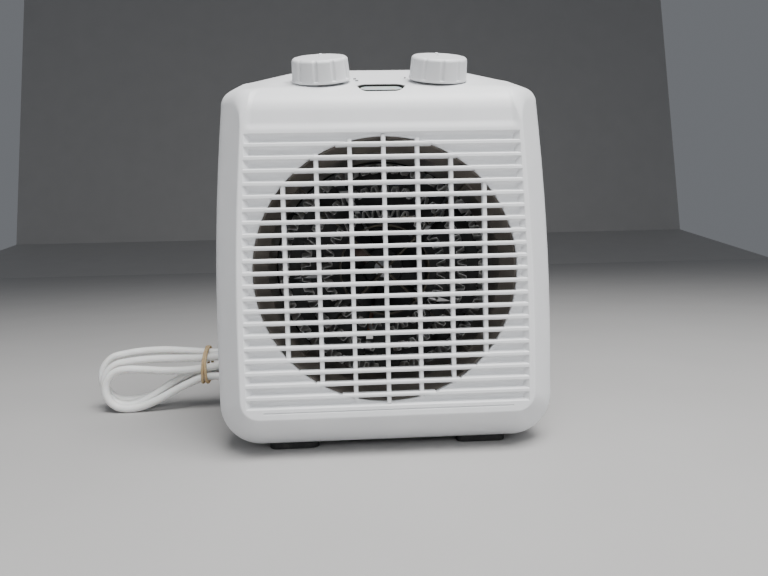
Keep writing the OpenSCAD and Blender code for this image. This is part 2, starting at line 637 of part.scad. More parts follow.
// The hank stands on its edge behind the body: two round ends and a waist where it is tied
hank_x0 = -263;
hank_x1 = -74;
hank_y = 85.5;
hank_t = 28.4;
hank_h = 59;
waist_x = -160;
waist_y = 85;
waist_t = 22;
waist_h = 28;
waist_z = 41;
function hank_edge(x, side) =
    let(
        r = hank_h / 2, left = hank_x0 + r, right = hank_x1 - r,
        u = x < waist_x ? (x - left) / (waist_x - left) : (right - x) / (right - waist_x),
        f = pow(sin(90 * min(1, max(0, u))), 2),
        end = hank_h / 2 + side * hank_h / 2, tie = waist_z + side * waist_h / 2
    )
    x < left ? r + side * sqrt(max(0, r * r - pow(left - x, 2))) :
    x > right ? r + side * sqrt(max(0, r * r - pow(x - right, 2))) : end + (tie - end) * f;
hank_xs = concat(
    [for (a = [0:15:75]) hank_x0 + hank_h / 2 * (1 - cos(a))],
    [for (k = [0:6]) hank_x0 + hank_h / 2 + (waist_x - 5 - hank_x0 - hank_h / 2) * k / 6],
    [for (k = [0:6]) waist_x + 5 + (hank_x1 - hank_h / 2 - waist_x - 5) * k / 6],
    [for (a = [75:-15:0]) hank_x1 - hank_h / 2 * (1 - cos(a))]
);
module cord_hank() color(white) difference() {
    translate([0, hank_y + hank_t / 2, 0]) rotate([90, 0, 0]) linear_extrude(hank_t)
        polygon(concat(
            [for (x = hank_xs) [x, hank_edge(x, -1)]],
            [for (i = [len(hank_xs) - 2:-1:1]) [hank_xs[i], hank_edge(hank_xs[i], 1)]]
        ));
    // the tie draws the turns together
    for (s = [-1, 1]) translate([waist_x - tie_w / 2 - 2, s > 0 ? waist_y + waist_t / 2 : 60, 0])
        cube([tie_w + 4, s > 0 ? 20 : waist_y - waist_t / 2 - 60, hank_h]);
}
tie_w = 8;
tie_t = 1.4;
module cord_tie() color("#c8a678") translate([waist_x, waist_y, waist_z]) difference() {
    cube([tie_w, waist_t + 2 * tie_t, waist_h + 2 * tie_t], center = true);
    cube([tie_w + 2, waist_t + 0.1, waist_h + 1.2], center = true);
}

// A three-pin plug lying on its long side, its pins pointing back
plug_x = 42;
plug_y = 91;
plug_z = 0;
module plug_body() color(white) translate([plug_x, plug_y, plug_z]) difference() {
    union() {
        translate([20, -12, 0]) cube([32, 24, 46]);
        translate([10, -10, 3]) cube([12, 20, 40]);
        translate([0, 0, 16]) rotate([0, 90, 0]) cylinder(r1 = cord_r + 1.2, r2 = 7, h = 12);
    }
    translate([-1, 0, 16]) rotate([0, 90, 0]) cylinder(r = 1, h = 2);
}
module plug_pins() color("#c9b06a") translate([plug_x, plug_y + 12 + EPS, plug_z]) {
    translate([24, 0, 23 - 2]) cube([8, 22, 4]);
    for (s = [-1, 1]) translate([43, 0, 23 + s * 11 - 3.2]) cube([4, 17.5, 6.4]);
}

front_casing();
rear_casing();
rubber_feet();
casing_screws();
indicator_lens();
indicator_lamp();
heater_duct();
duct_screws();
mica_frame();
outer_ribbon();
middle_ribbon();
inner_ribbon();
element_terminals();
thermal_cutout();
thermal_fuse();
motor_mount();
motor_stator();
motor_coil();
front_bracket();
rear_bracket();
motor_bushes();
motor_screws();
motor_rotor();
motor_shaft();
fan_impeller();
fan_clip();
thermostat_body();
thermostat_spindle();
thermostat_knob();
switch_body();
switch_spindle();
switch_knob();
control_screws();
terminal_block();
wiring_loom();
cord_clamp();
cord_gland();
cord_lead();
cord_tail();
cord_hank();
cord_tie();
plug_body();
plug_pins();
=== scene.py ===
import json
import math
import bpy
import bmesh
from mathutils import Matrix, Vector


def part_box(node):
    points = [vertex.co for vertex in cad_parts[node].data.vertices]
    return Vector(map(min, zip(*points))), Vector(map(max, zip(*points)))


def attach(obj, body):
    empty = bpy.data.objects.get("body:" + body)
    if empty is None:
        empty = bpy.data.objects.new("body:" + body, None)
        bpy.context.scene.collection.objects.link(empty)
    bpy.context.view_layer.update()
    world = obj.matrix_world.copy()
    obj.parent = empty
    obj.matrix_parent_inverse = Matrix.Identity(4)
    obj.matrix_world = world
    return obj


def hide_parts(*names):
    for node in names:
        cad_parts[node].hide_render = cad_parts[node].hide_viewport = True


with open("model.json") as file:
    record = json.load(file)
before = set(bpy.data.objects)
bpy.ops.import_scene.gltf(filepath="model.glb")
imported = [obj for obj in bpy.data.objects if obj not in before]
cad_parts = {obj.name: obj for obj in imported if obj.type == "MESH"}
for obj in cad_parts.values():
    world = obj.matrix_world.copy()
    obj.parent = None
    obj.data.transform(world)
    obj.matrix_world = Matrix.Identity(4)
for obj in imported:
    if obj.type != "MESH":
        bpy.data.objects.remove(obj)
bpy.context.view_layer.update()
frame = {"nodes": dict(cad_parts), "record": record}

# ---- Viewpoint ------------------------------------------------------------------------------------------
# A hand-held wide lens just above the grille's middle, a little left of it and looking slightly up and right.
joints = {j["name"]: j for j in frame["record"]["behaviour"]["joints"]}
fan_centre = Vector(joints["fan_spin"]["pos_m"])
panel_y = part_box("front_casing")[0].y

camera_data = bpy.data.cameras.new("viewpoint")
camera_data.lens = 27.05
camera_data.sensor_width = 36
camera_data.clip_start = 0.02
camera = bpy.data.objects.new("viewpoint", camera_data)
bpy.context.collection.objects.link(camera)
camera_turn = (
    Matrix.Rotation(math.radians(-2.74), 4, "Z")
    @ Matrix.Rotation(math.radians(-3.97), 4, "X")
    @ Matrix.Rotation(math.radians(1.39), 4, "Y")
    @ Matrix.Rotation(math.radians(90), 4, "X")
)
camera.matrix_world = Matrix.Translation((-0.0203, panel_y - 0.3846, fan_centre.z + 0.0153)) @ camera_turn
bpy.context.scene.camera = camera


# ---- Floor and light --------------------------------------------------------------------------------------
# A pale matt sweep that runs up behind, a wide soft light overhead and in front, and dim fill from both sides.
def deselect_all():
    if bpy.context.object and bpy.context.object.mode != "OBJECT":
        bpy.ops.object.mode_set(mode="OBJECT")
    bpy.ops.object.select_all(action="DESELECT")


class Link:
    """A socket in one material's nodes. Sums and products of links add Math nodes."""

    def __init__(self, tree, socket=None):
        self.tree, self.socket = tree, socket

    def put(self, target, value):
        if isinstance(value, Link):
            self.tree.links.new(value.socket, target)
        else:
            target.default_value = value

    def node(self, kind, settings=None, sockets=None, out=0):
        """A new node: its settings first, then values or links for its sockets, then the output asked for."""
        made = self.tree.nodes.new("ShaderNode" + kind)
        for name, value in (settings or {}).items():
            if name == "stops":
                ramp = made.color_ramp
                while len(ramp.elements) < len(value):
                    ramp.elements.new(1)
                for stop, (place, colour) in zip(ramp.elements, value):
                    stop.position, stop.color = place, (*colour, 1)
            else:
                setattr(made, name, value)
        for name, value in (sockets or {}).items():
            self.put(made.inputs[name], value)
        return Link(self.tree, made.outputs[out])

    def maths(self, operation, *values):
        return self.node("Math", {"operation": operation}, dict(enumerate(values)))

    def __add__(self, other):
        return self.maths("ADD", self, other)

    __radd__ = __add__

    def __mul__(self, other):
        return self.maths("MULTIPLY", self, other)

    __rmul__ = __mul__

    def __sub__(self, other):
        return self.maths("SUBTRACT", self, other)

    def __rsub__(self, other):
        return self.maths("SUBTRACT", other, self)

    def above(self, edge, soft):
        """0 below edge, 1 a soft width above it."""
        return self.node("MapRange", {"clamp": True}, {0: self, 1: edge, 2: edge + soft, 3: 0.0, 4: 1.0})

    def mix(self, low, high):
        """Blends two colours by this link."""
        return self.node("Mix", {"data_type": "RGBA"}, {0: self, 6: low, 7: high}, out=2)


def new_finish(name, roughness=0.5, metallic=0.0, **shader_values):
    """A material, its shader, and a link to start its node expressions from."""
    material = bpy.data.materials.new(name)
    material.use_nodes = True
    shader = material.node_tree.nodes["Principled BSDF"]
    shader.inputs["Roughness"].default_value = roughness
    shader.inputs["Metallic"].default_value = metallic
    for socket, value in shader_values.items():
        shader.inputs[socket.replace("_", " ")].default_value = value
    return material, shader, Link(material.node_tree)


def noise(link, scale, detail=2.0, roughness=0.5, place=None):
    """Soft random values, a scale of 100 being spots about a centimetre wide."""
    place = place or link.node("TexCoord", out="Object")
    sockets = {"Vector": place, "Scale": scale, "Detail": detail, "Roughness": roughness}
    return link.node("TexNoise", sockets=sockets, out="Fac")


def bump(link, shader, height, distance, strength=1.0):
    sockets = {"Height": height, "Distance": distance, "Strength": strength}
    link.put(shader.inputs["Normal"], link.node("Bump", sockets=sockets))


floor_finish, shader, link = new_finish("floor_pale", roughness=0.65)
grain = noise(link, 7, detail=3)
link.put(shader.inputs["Base Color"], grain.mix((0.40, 0.395, 0.39, 1), (0.44, 0.435, 0.43, 1)))

deselect_all()
bpy.ops.mesh.primitive_plane_add(size=6, location=(0, 0.6, 0))
floor = bpy.context.object
floor.name = "floor"
bpy.ops.object.mode_set(mode="EDIT")
bpy.ops.mesh.select_mode(type="EDGE")
bpy.ops.mesh.select_all(action="DESELECT")
mesh = bmesh.from_edit_mesh(floor.data)
for edge in mesh.edges:
    edge.select = all(v.co.y > 2.9 for v in edge.verts)
bmesh.update_edit_mesh(floor.data)
bpy.ops.mesh.extrude_edges_move(TRANSFORM_OT_translate={"value": (0, 1.2, 0.25)})
bpy.ops.mesh.extrude_edges_move(TRANSFORM_OT_translate={"value": (0, 0.6, 3.5)})
bpy.ops.object.mode_set(mode="OBJECT")
bpy.ops.object.transform_apply(location=True, rotation=True, scale=True)
floor.data.materials.append(floor_finish)


def soft_light(name, place, aim, size, watts, tint):
    data = bpy.data.lights.new(name, "AREA")
    data.shape = "RECTANGLE"
    data.size, data.size_y = size
    data.energy = watts
    data.color = tint
    lamp = bpy.data.objects.new(name, data)
    bpy.context.collection.objects.link(lamp)
    lamp.location = place
    lamp.rotation_euler = (Vector(aim) - Vector(place)).to_track_quat("-Z", "Y").to_euler()


soft_light("overhead", (0.25, -0.55, 1.4), (0, 0.0, 0.2), (1.0, 0.7), 42, (1.0, 0.99, 0.98))
soft_light("front_fill", (0.7, -1.7, 1.1), (0, 0, 0.12), (1.2, 0.8), 12, (0.97, 0.985, 1.0))
soft_light("left_fill", (-1.6, -0.6, 0.9), (0, 0, 0.12), (0.8, 0.8), 2, (0.97, 0.98, 1.0))
world = bpy.data.worlds.new("studio")
world.use_nodes = True
world.node_tree.nodes["Background"].inputs["Color"].default_value = (0.60, 0.63, 0.68, 1)
world.node_tree.nodes["Background"].inputs["Strength"].default_value = 0.26
bpy.context.scene.world = world

# ---- Mains lead -------------------------------------------------------------------------------------------
# White PVC-sheathed three-core flex, 7 mm across. It leaves the gland at the back, is folded three times into
# a hank that stands on its edge behind the body's left side, and ends in the moulded plug on the table.
mm = 0.001
lead_width = 7 * mm
lead_route = [
    (20, 91, 38.5), (20, 98, 38.5), (17.5, 106.5, 37.6), (12, 113.5, 35.8), (6, 118, 34), (-1, 121, 32),
    (-8, 122, 30), (-15, 121, 28.5), (-22, 118, 27.2), (-29, 113, 26.2), (-36, 107.5, 25.6), (-43, 102.4, 25.8),
    (-51, 98.3, 27.2), (-60, 96.2, 28.9), (-67, 96, 29.5), (-73.9, 96, 29.5),
]
back_turn = [
    (-84, 96, 31), (-98, 95.6, 35.5), (-112, 95, 41.3), (-127, 94, 46.6), (-143, 93, 49.8), (-160, 92, 50.8),
    (-180, 92, 52.6), (-200, 92, 54), (-219, 92, 53.6), (-236.5, 92, 51.3), (-247.5, 92, 48.4), (-255.3, 92, 40.5),
    (-258, 92, 29.8), (-255.2, 92, 19), (-247.4, 92, 11.2), (-236.5, 92, 8.3), (-221, 92, 9.8), (-205, 92, 14.8),
    (-189, 92, 22.2), (-174, 92, 29.6), (-160, 92, 34.5), (-146, 92, 33.6), (-133, 91.6, 25.6), (-122, 90.8, 15),
    (-111.5, 90, 6.5), (-101, 89.4, 3.7), (-90.5, 89, 6.5), (-82.8, 89, 14.2), (-80, 89, 24.7), (-82.8, 89, 35.2),
    (-90.5, 88.8, 42.9), (-102, 88.2, 46.5), (-120, 87, 48.8), (-141, 85.4, 48.6),
]
middle_turn = [
    (-160, 85, 46.8), (-180, 85, 46.8), (-199, 85, 47), (-217, 85, 46.6), (-233.5, 85, 44.8), (-243.5, 85, 42.3),
    (-250.8, 85, 35), (-253.5, 85, 25), (-250.8, 85, 15), (-243.5, 85, 7.7), (-233.5, 85, 5), (-219, 85, 8.2),
    (-204, 85, 17), (-189, 85, 26.5), (-174, 85, 33.6), (-160, 85, 37.4), (-146, 84.9, 35.4), (-133, 84.6, 26.6),
    (-122, 83.8, 15.4), (-111.5, 83, 6.6), (-101, 82.4, 3.7), (-90.5, 82, 6.5), (-82.8, 82, 14.2), (-80, 82, 24.7),
    (-82.8, 82, 35.2), (-90.5, 81.8, 42.9), (-102, 81.2, 46.2), (-121, 79.8, 46.2), (-142, 78.4, 42.2),
]
front_turn = [
    (-160, 78, 38.6), (-180, 78, 37), (-198, 78, 37.4), (-215, 78, 38.8), (-232, 78, 39.5), (-241, 78, 37.1),
    (-247.6, 78, 30.5), (-250, 78, 21.5), (-247.6, 78, 12.5), (-241, 78, 5.9), (-232, 78, 3.6), (-218, 78, 5.2),
    (-204, 78, 10.6), (-190, 78, 17.8), (-175, 78, 25), (-160, 78, 30.4), (-142, 77.4, 30.2), (-122, 76.4, 27),
    (-103, 75.6, 23.6), (-88, 75.2, 21.2),
]
tail_route = [
    (-75.5, 75, 20), (-68, 75.4, 18), (-60, 76.6, 14.8), (-51, 78.6, 10.5), (-42, 81, 6.8), (-33, 83.2, 4.6),
    (-23, 85, 3.8), (-12, 87, 3.8), (0, 89, 4.4), (11, 90.4, 6.8), (21, 91, 10.6), (30, 91, 14.2), (36, 91, 16),
    (42, 91, 16),
]


def smooth_line(name, points, width, closed=False, roundness=5):
    """A round bar along one smooth curve: each handle is a third of the way to its neighbour."""
    data = bpy.data.curves.new(name, "CURVE")
    data.dimensions = "3D"
    data.resolution_u = 7
    data.bevel_depth = width / 2
    data.bevel_resolution = roundness
    data.use_fill_caps = True
    spline = data.splines.new("BEZIER")
    spline.bezier_points.add(len(points) - 1)
    spline.use_cyclic_u = closed
    last = len(points) - 1
    for i, (knot, place) in enumerate(zip(spline.bezier_points, points)):
        before = points[i - 1] if i or closed else place
        after = points[(i + 1) % len(points)] if i < last or closed else place
        back, ahead = (place - before).length, (after - place).length
        way = ((place - before) * ahead + (after - place) * back).normalized() if back and ahead else (after - before)
        way.normalize()
        knot.co = place
        knot.handle_left_type = knot.handle_right_type = "FREE"
        knot.handle_left = place - way * back / 3
        knot.handle_right = place + way * ahead / 3
    line = bpy.data.objects.new(name, data)
    bpy.context.collection.objects.link(line)
    return line


lead_points = [Vector(p) * mm for p in lead_route + back_turn + middle_turn + front_turn + tail_route]
lead = smooth_line("mains_lead", lead_points, lead_width)

# Satin PVC: long faint waves from being folded, a fine skin, and a trace of handling
sheath_finish, shader, link = new_finish("lead_sheath", roughness=0.4, Subsurface_Weight=0.05)
handled = noise(link, 55, detail=4, roughness=0.6)
link.put(shader.inputs["Base Color"], handled.above(0.35, 0.4).mix((0.79, 0.785, 0.765, 1), (0.86, 0.86, 0.85, 1)))
link.put(shader.inputs["Roughness"], handled * 0.22 + 0.3)
bump(link, shader, noise(link, 160, detail=3) * 0.8 + noise(link, 1800, detail=1) * 0.2, 0.0004, 0.5)
lead.data.materials.append(sheath_finish)

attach(lead, "housing")
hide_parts("cord_lead", "cord_hank", "cord_tail")

# ---- Tie --------------------------------------------------------------------------------------------------
# Tan rubber band, doubled round the middle of the hank: two soft strands side by side that bite into the
# outer runs and cross once on top.
tie_low, tie_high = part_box("cord_tie")
tie_x = (tie_low.x + tie_high.x) / 2
band_width = 2.6 * mm
band_outline = [
    (73.0, 30.4), (73.0, 38.6), (75.2, 44.2), (80.6, 50.4), (86.0, 53.6), (92.0, 55.7), (96.6, 54.3), (97.4, 50.0),
    (97.4, 42.0), (97.2, 34.4), (94.2, 29.6), (88.0, 28.9), (82.0, 26.6), (77.6, 25.4), (74.2, 26.6),
]
strands = []
for side, lean in ((-1, 0.6), (1, -1.1)):
    points = [
        Vector((tie_x / mm + side * 1.6 + lean * math.sin(i * 2 * math.pi / len(band_outline)), y, z)) * mm
        for i, (y, z) in enumerate(band_outline)
    ]
    strands.append(smooth_line("band_strand", points, band_width, closed=True, roundness=3))
deselect_all()
for strand in strands:
    strand.select_set(True)
bpy.context.view_layer.objects.active = strands[0]
bpy.ops.object.convert(target="MESH")
bpy.ops.object.join()
tie = bpy.context.object
tie.name = "rubber_band"
bpy.ops.object.shade_smooth()

band_finish, shader, link = new_finish("band_rubber", roughness=0.62, Subsurface_Weight=0.08)
streaks = noise(link, 420, detail=4, roughness=0.7)
link.put(shader.inputs["Base Color"], streaks.above(0.35, 0.35).mix((0.46, 0.32, 0.17, 1), (0.62, 0.46, 0.27, 1)))
bump(link, shader, streaks, 0.0003, 0.6)
tie.data.materials.append(band_finish)
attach(tie, "housing")
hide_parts("cord_tie")

# ---- Cord gland -------------------------------------------------------------------------------------------
# Moulded strain relief: a collar against the rear casing, then a tapered sleeve cut with staggered slots so
# that it bends with the lead.
gland_low, gland_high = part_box("cord_gland")
gland_x = (gland_low.x + gland_high.x) / 2
gland_z = (gland_low.z + gland_high.z) / 2


def lathe(name, profile, steps=64):
    """A turned piece about +Z from (radius, height) pairs, closed flat at both ends."""
    deselect_all()
    bpy.ops.mesh.primitive_circle_add(vertices=steps, radius=profile[0][0], location=(0, 0, profile[0][1]))
    piece = bpy.context.object
    piece.name = name
    bpy.ops.object.mode_set(mode="EDIT")
    bpy.ops.mesh.select_all(action="SELECT")
    bpy.ops.mesh.edge_face_add()
    bpy.ops.mesh.select_mode(type="FACE")
    for (radius, height), (next_radius, next_height) in zip(profile, profile[1:]):
        bpy.ops.mesh.extrude_region_move(TRANSFORM_OT_translate={"value": (0, 0, next_height - height)})
        grow = next_radius / radius
        bpy.ops.transform.resize(value=(grow, grow, 1), center_override=(0, 0, 0))
    bpy.ops.mesh.select_all(action="SELECT")
    bpy.ops.mesh.normals_make_consistent(inside=False)
    bpy.ops.object.mode_set(mode="OBJECT")
    bpy.ops.object.transform_apply(location=True, rotation=True, scale=True)
    return piece


def join(pieces):
    """Makes one object of several."""
    deselect_all()
    for piece in pieces:
        piece.select_set(True)
    bpy.context.view_layer.objects.active = pieces[0]
    if len(pieces) > 1:
        bpy.ops.object.join()
    return bpy.context.object


def carve(piece, operation, *tools):
    """Adds or takes away other closed solids, and removes them."""
    tool = join(tools)
    cut = piece.modifiers.new("carve", "BOOLEAN")
    cut.operation, cut.object, cut.solver, cut.use_self = operation, tool, "EXACT", True
    bpy.context.view_layer.objects.active = piece
    bpy.ops.object.modifier_apply(modifier=cut.name)
    bpy.data.objects.remove(tool)


def block(low, high, round_edges=0.0, steps=2):
    """A box between two corners, with its edges rounded."""
    low, high = Vector(low), Vector(high)
    deselect_all()
    bpy.ops.mesh.primitive_cube_add(size=1, location=(low + high) / 2, scale=high - low)
    bpy.ops.object.transform_apply(location=True, rotation=True, scale=True)
    if round_edges:
        bpy.ops.object.mode_set(mode="EDIT")
        bpy.ops.mesh.select_all(action="SELECT")
        bpy.ops.mesh.bevel(offset=round_edges, segments=steps)
        bpy.ops.object.mode_set(mode="OBJECT")
    return bpy.context.object


def smooth_shade(piece, angle=32):
    """Soft shading over edges that turn less than the angle, and normals that follow the big faces."""
    deselect_all()
    piece.select_set(True)
    bpy.context.view_layer.objects.active = piece
    bpy.ops.object.shade_smooth_by_angle(angle=math.radians(angle))
    even = piece.modifiers.new("even", "WEIGHTED_NORMAL")
    even.keep_sharp = True
    bpy.ops.object.modifier_apply(modifier=even.name)


def seat(piece, matrix):
    """Puts a piece modelled in millimetres in a frame of its own where it belongs, in metres."""
    piece.data.transform(matrix @ Matrix.Scale(mm, 4))
    piece.matrix_world = Matrix.Identity(4)


collar_r, sleeve_r, tip_r, core_r = 8.0, 5.8, 4.15, 3.75
sleeve_start = 10.1
relief_count, relief_start, relief_step, relief_w = 6, 13.0, 3.1, 1.5
relief_in, relief_out = 1.6, 9
gland_end = (gland_high.y - gland_low.y) / mm
gland = lathe("cord_gland_piece", [
    (6.4, 0), (8, 0.4), (8, 5.2), (6.4, 5.6), (6.4, 8.05), (collar_r - 0.5, 8.05), (collar_r, 8.5), (collar_r, 9.3),
    (collar_r - 0.7, 10), (sleeve_r + 0.5, sleeve_start), (sleeve_r, 10.9), (tip_r + 0.25, gland_end - 0.9),
    (tip_r, gland_end - 0.3), (tip_r - 0.3, gland_end),
])
reliefs = []
for k in range(relief_count):
    height = relief_start + k * relief_step
    for side in (-1, 1):
        reach = (side * relief_in, side * relief_out)
        across = (-relief_out, relief_out)
        x_range, y_range = (reach, across) if k % 2 else (across, reach)
        low = (min(x_range), min(y_range), height)
        high = (max(x_range), max(y_range), height + relief_w)
        reliefs.append(block(low, high))
core = lathe("gland_core", [(core_r, 10.5), (core_r, gland_end + 0.2)])
carve(gland, "DIFFERENCE", *reliefs)
carve(gland, "UNION", core)
smooth_shade(gland)
seat(gland, Matrix.Translation((gland_x, gland_low.y, gland_z)) @ Matrix.Rotation(math.radians(-90), 4, "X"))


def moulded_plastic(name, dark, light, roughness=0.42, grain=0.00012, **shader_values):
    """Injection-moulded plastic: spark-eroded grain, faint sink marks and a little handling sheen."""
    material, shader, link = new_finish(name, roughness=roughness, **shader_values)
    cloud = noise(link, 26, detail=3)
    link.put(shader.inputs["Base Color"], cloud.above(0.35, 0.35).mix((*dark, 1), (*light, 1)))
    smudge = noise(link, 75, detail=5, roughness=0.65)
    link.put(shader.inputs["Roughness"], smudge * 0.16 + (roughness - 0.08))
    fine = noise(link, 2600, detail=2) * 0.75 + noise(link, 120, detail=2) * 0.6
    bump(link, shader, fine, grain, 0.55)
    return material


casing_finish = moulded_plastic("casing_plastic", (0.775, 0.785, 0.80), (0.81, 0.82, 0.835), roughness=0.4)
gland.data.materials.append(casing_finish)
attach(gland, "housing")
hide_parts("cord_gland")

# ---- Plug -------------------------------------------------------------------------------------------------
# Moulded three-pin plug lying on its long side: a rounded body with a grip step, a rib round its waist and a
# sleeve that follows the lead, then brass pins with dark sleeves on the two smaller ones.
plug_low, plug_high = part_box("plug_body")
pins_low, pins_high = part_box("plug_pins")
plug_y = (plug_low.y + plug_high.y) / 2
sleeve_z = 16
body_start = 20
body_end = (plug_high.x - plug_low.x) / mm
body_h = (plug_high.z - plug_low.z) / mm
grip_start, grip_step, grip_w, grip_y = body_start + 6, 3.4, 1.6, 12.4
plug = block((body_start, -12, 0), (body_end, 12, body_h), 3.2, 4)
shoulder = block((10, -9.6, 3), (body_start + 4, 9.6, body_h - 3.5), 3.0, 4)
neck = lathe("plug_neck", [
    (4.1, 0), (4.7, 0.5), (5.2, 3.2), (4.6, 3.6), (4.6, 4.6), (5.9, 5.0), (6.1, 7.2), (5.4, 7.6), (5.4, 8.6),
    (6.9, 9.1), (7.4, 14),
])
neck.data.transform(Matrix.Translation((0, 0, sleeve_z)) @ Matrix.Rotation(math.radians(90), 4, "Y"))
carve(plug, "UNION", shoulder, neck)
grips = []
for k in range(5):
    x = grip_start + grip_step * k
    for side in (-1, 1):
        low, high = (x, side * grip_y - 0.9, 8), (x + grip_w, side * grip_y + 0.9, body_h - 8)
        grips.append(block(low, high, 0.5))
carve(plug, "DIFFERENCE", *grips)
plug_place = Matrix.Translation((plug_low.x, plug_y, plug_low.z))
plug.name = "plug_moulding"
smooth_shade(plug)
seat(plug, plug_place)
plug_finish = moulded_plastic("plug_plastic", (0.79, 0.785, 0.77), (0.84, 0.835, 0.82), roughness=0.36, grain=0.00008)
plug.data.materials.append(plug_finish)
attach(plug, "housing")
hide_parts("plug_body")

pin_face = (pins_low.y - plug_y) / mm
earth_end = (pins_high.y - plug_y) / mm
line_end = earth_end - 4.5
pins = block((24, pin_face - 2, 21), (32, earth_end, 25), 0.5)
line_pins = [block((43, pin_face - 2, z - 3.2), (47, line_end, z + 3.2), 0.5) for z in (12, 34)]
sleeves = [block((42.7, pin_face - 1, z - 3.5), (47.3, pin_face + 8, z + 3.5), 0.6) for z in (12, 34)]
carve(pins, "UNION", *line_pins)
pins.name = "plug_pin_set"
smooth_shade(pins)
seat(pins, plug_place)


def metal(name, dark, light, roughness, scale=(1, 1, 1), wear=0.2, bump_depth=0.00004):
    """Bare or plated metal: drawn or pressed marks along one way, with patches that have dulled."""
    material, shader, link = new_finish(name, roughness=roughness, metallic=1.0)
    place = link.node("Mapping", sockets={"Vector": link.node("TexCoord", out="Object"), "Scale": scale})
    drawn = noise(link, 900, detail=4, roughness=0.6, place=place)
    dulled = noise(link, 90, detail=4, roughness=0.6)
    link.put(shader.inputs["Base Color"], dulled.above(0.35, 0.3).mix((*dark, 1), (*light, 1)))
    link.put(shader.inputs["Roughness"], drawn * wear + dulled * wear + (roughness - wear))
    bump(link, shader, drawn, bump_depth, 0.6)
    return material


brass_finish = metal("pin_brass", (0.55, 0.37, 0.14), (0.72, 0.52, 0.24), 0.3, scale=(1, 0.12, 1))
pins.data.materials.append(brass_finish)
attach(pins, "housing")
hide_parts("plug_pins")

pin_sleeves = join(sleeves)
pin_sleeves.name = "plug_pin_sleeves"
smooth_shade(pin_sleeves)
seat(pin_sleeves, plug_place)
sleeve_finish = moulded_plastic("sleeve_plastic", (0.02, 0.02, 0.022), (0.03, 0.03, 0.032), roughness=0.35)
pin_sleeves.data.materials.append(sleeve_finish)
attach(pin_sleeves, "housing")

# ---- Heater duct, boards and ribbons ----------------------------------------------------------------------
# Black-brown phenolic duct behind the outlet. Two crossed mica boards inside it carry three rings of crinkled
# resistance ribbon, edge on to the air. The duct and boards keep their CAD shape, and the ribbons are folded here.
def finish_node(material, *names):
    """Gives CAD nodes a material."""
    for name in names:
        node = frame["nodes"][name]
        node.data.materials.clear()
        node.data.materials.append(material)


duct_finish = moulded_plastic("duct_phenolic", (0.17, 0.15, 0.13), (0.23, 0.205, 0.18), roughness=0.5, grain=0.0003)
finish_node(duct_finish, "heater_duct")
mount_finish = moulded_plastic(
    "mount_phenolic", (0.012, 0.011, 0.01), (0.022, 0.02, 0.019), roughness=0.55, grain=0.0003
)
finish_node(mount_finish, "motor_mount", "switch_body")

# Mica board: dark brown flakes pressed in layers, glinting a little
mica_finish, shader, link = new_finish("mica_board", roughness=0.45)
flakes = link.node("TexVoronoi", {"feature": "F1"}, {"Vector": link.node("TexCoord", out="Object"), "Scale": 260.0})
layers = noise(link, 60, detail=5, roughness=0.7)
link.put(shader.inputs["Base Color"], layers.above(0.3, 0.4).mix((0.045, 0.038, 0.028, 1), (0.10, 0.085, 0.06, 1)))
link.put(shader.inputs["Roughness"], flakes * 0.35 + 0.25)
bump(link, shader, flakes, 0.0002, 0.5)
finish_node(mica_finish, "mica_frame")

# Each ring is a flat ribbon folded to and fro like a concertina. Its folds lean, so their faces catch the light
ribbon_finish = metal("resistance_ribbon", (0.62, 0.61, 0.60), (0.9, 0.89, 0.88), 0.5, scale=(1, 0.1, 1), wear=0.12)
fold_half, fold_edge, fold_lean, fold_flare, fold_flatness = 3.1, 3.4, 1.3, 0.5, 1.35
folds_per_mm, fold_steps, ribbon_t = 0.85, 4, 0.3
ring_start, ring_sweep = 6, 348
body_frame = Matrix.Translation((0, panel_y, fan_centre.z))
for node in ("outer_ribbon", "middle_ribbon", "inner_ribbon"):
    low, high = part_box(node)
    ring = (high.x - low.x) / 2 / mm - fold_edge
    front, back = (low.y - panel_y) / mm, (high.y - panel_y) / mm
    columns = 2 * round(ring * folds_per_mm) * fold_steps
    deselect_all()
    bpy.ops.mesh.primitive_grid_add(x_subdivisions=columns, y_subdivisions=2, size=1)
    ribbon = bpy.context.object
    for i, vertex in enumerate(ribbon.data.vertices):
        row, column = divmod(i, columns + 1)
        swing = max(-1.0, min(1.0, fold_flatness * math.sin(math.pi * column / fold_steps)))
        turn = math.radians(ring_start + ring_sweep * column / columns + fold_lean * (1 - row))
        radius = ring + fold_half * swing + fold_flare * (row - 1)
        vertex.co = (radius * math.sin(turn), front + (back - front) * row / 2, -radius * math.cos(turn))
    thicken = ribbon.modifiers.new("thicken", "SOLIDIFY")
    thicken.thickness, thicken.offset = ribbon_t, 0
    bpy.ops.object.modifier_apply(modifier=thicken.name)
    ribbon.name = node + "_strip"
    smooth_shade(ribbon, 35)
    seat(ribbon, body_frame)
    ribbon.data.materials.append(ribbon_finish)
    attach(ribbon, "housing")
    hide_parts(node)
finish_node(brass_finish, "element_terminals", "thermostat_spindle")

cutout_finish = moulded_plastic("cutout_phenolic", (0.05, 0.03, 0.022), (0.09, 0.055, 0.04), roughness=0.45)
finish_node(cutout_finish, "thermal_cutout")
ceramic_finish = moulded_plastic("fuse_ceramic", (0.62, 0.58, 0.49), (0.72, 0.69, 0.6), roughness=0.5, grain=0.0002)
finish_node(ceramic_finish, "thermal_fuse")

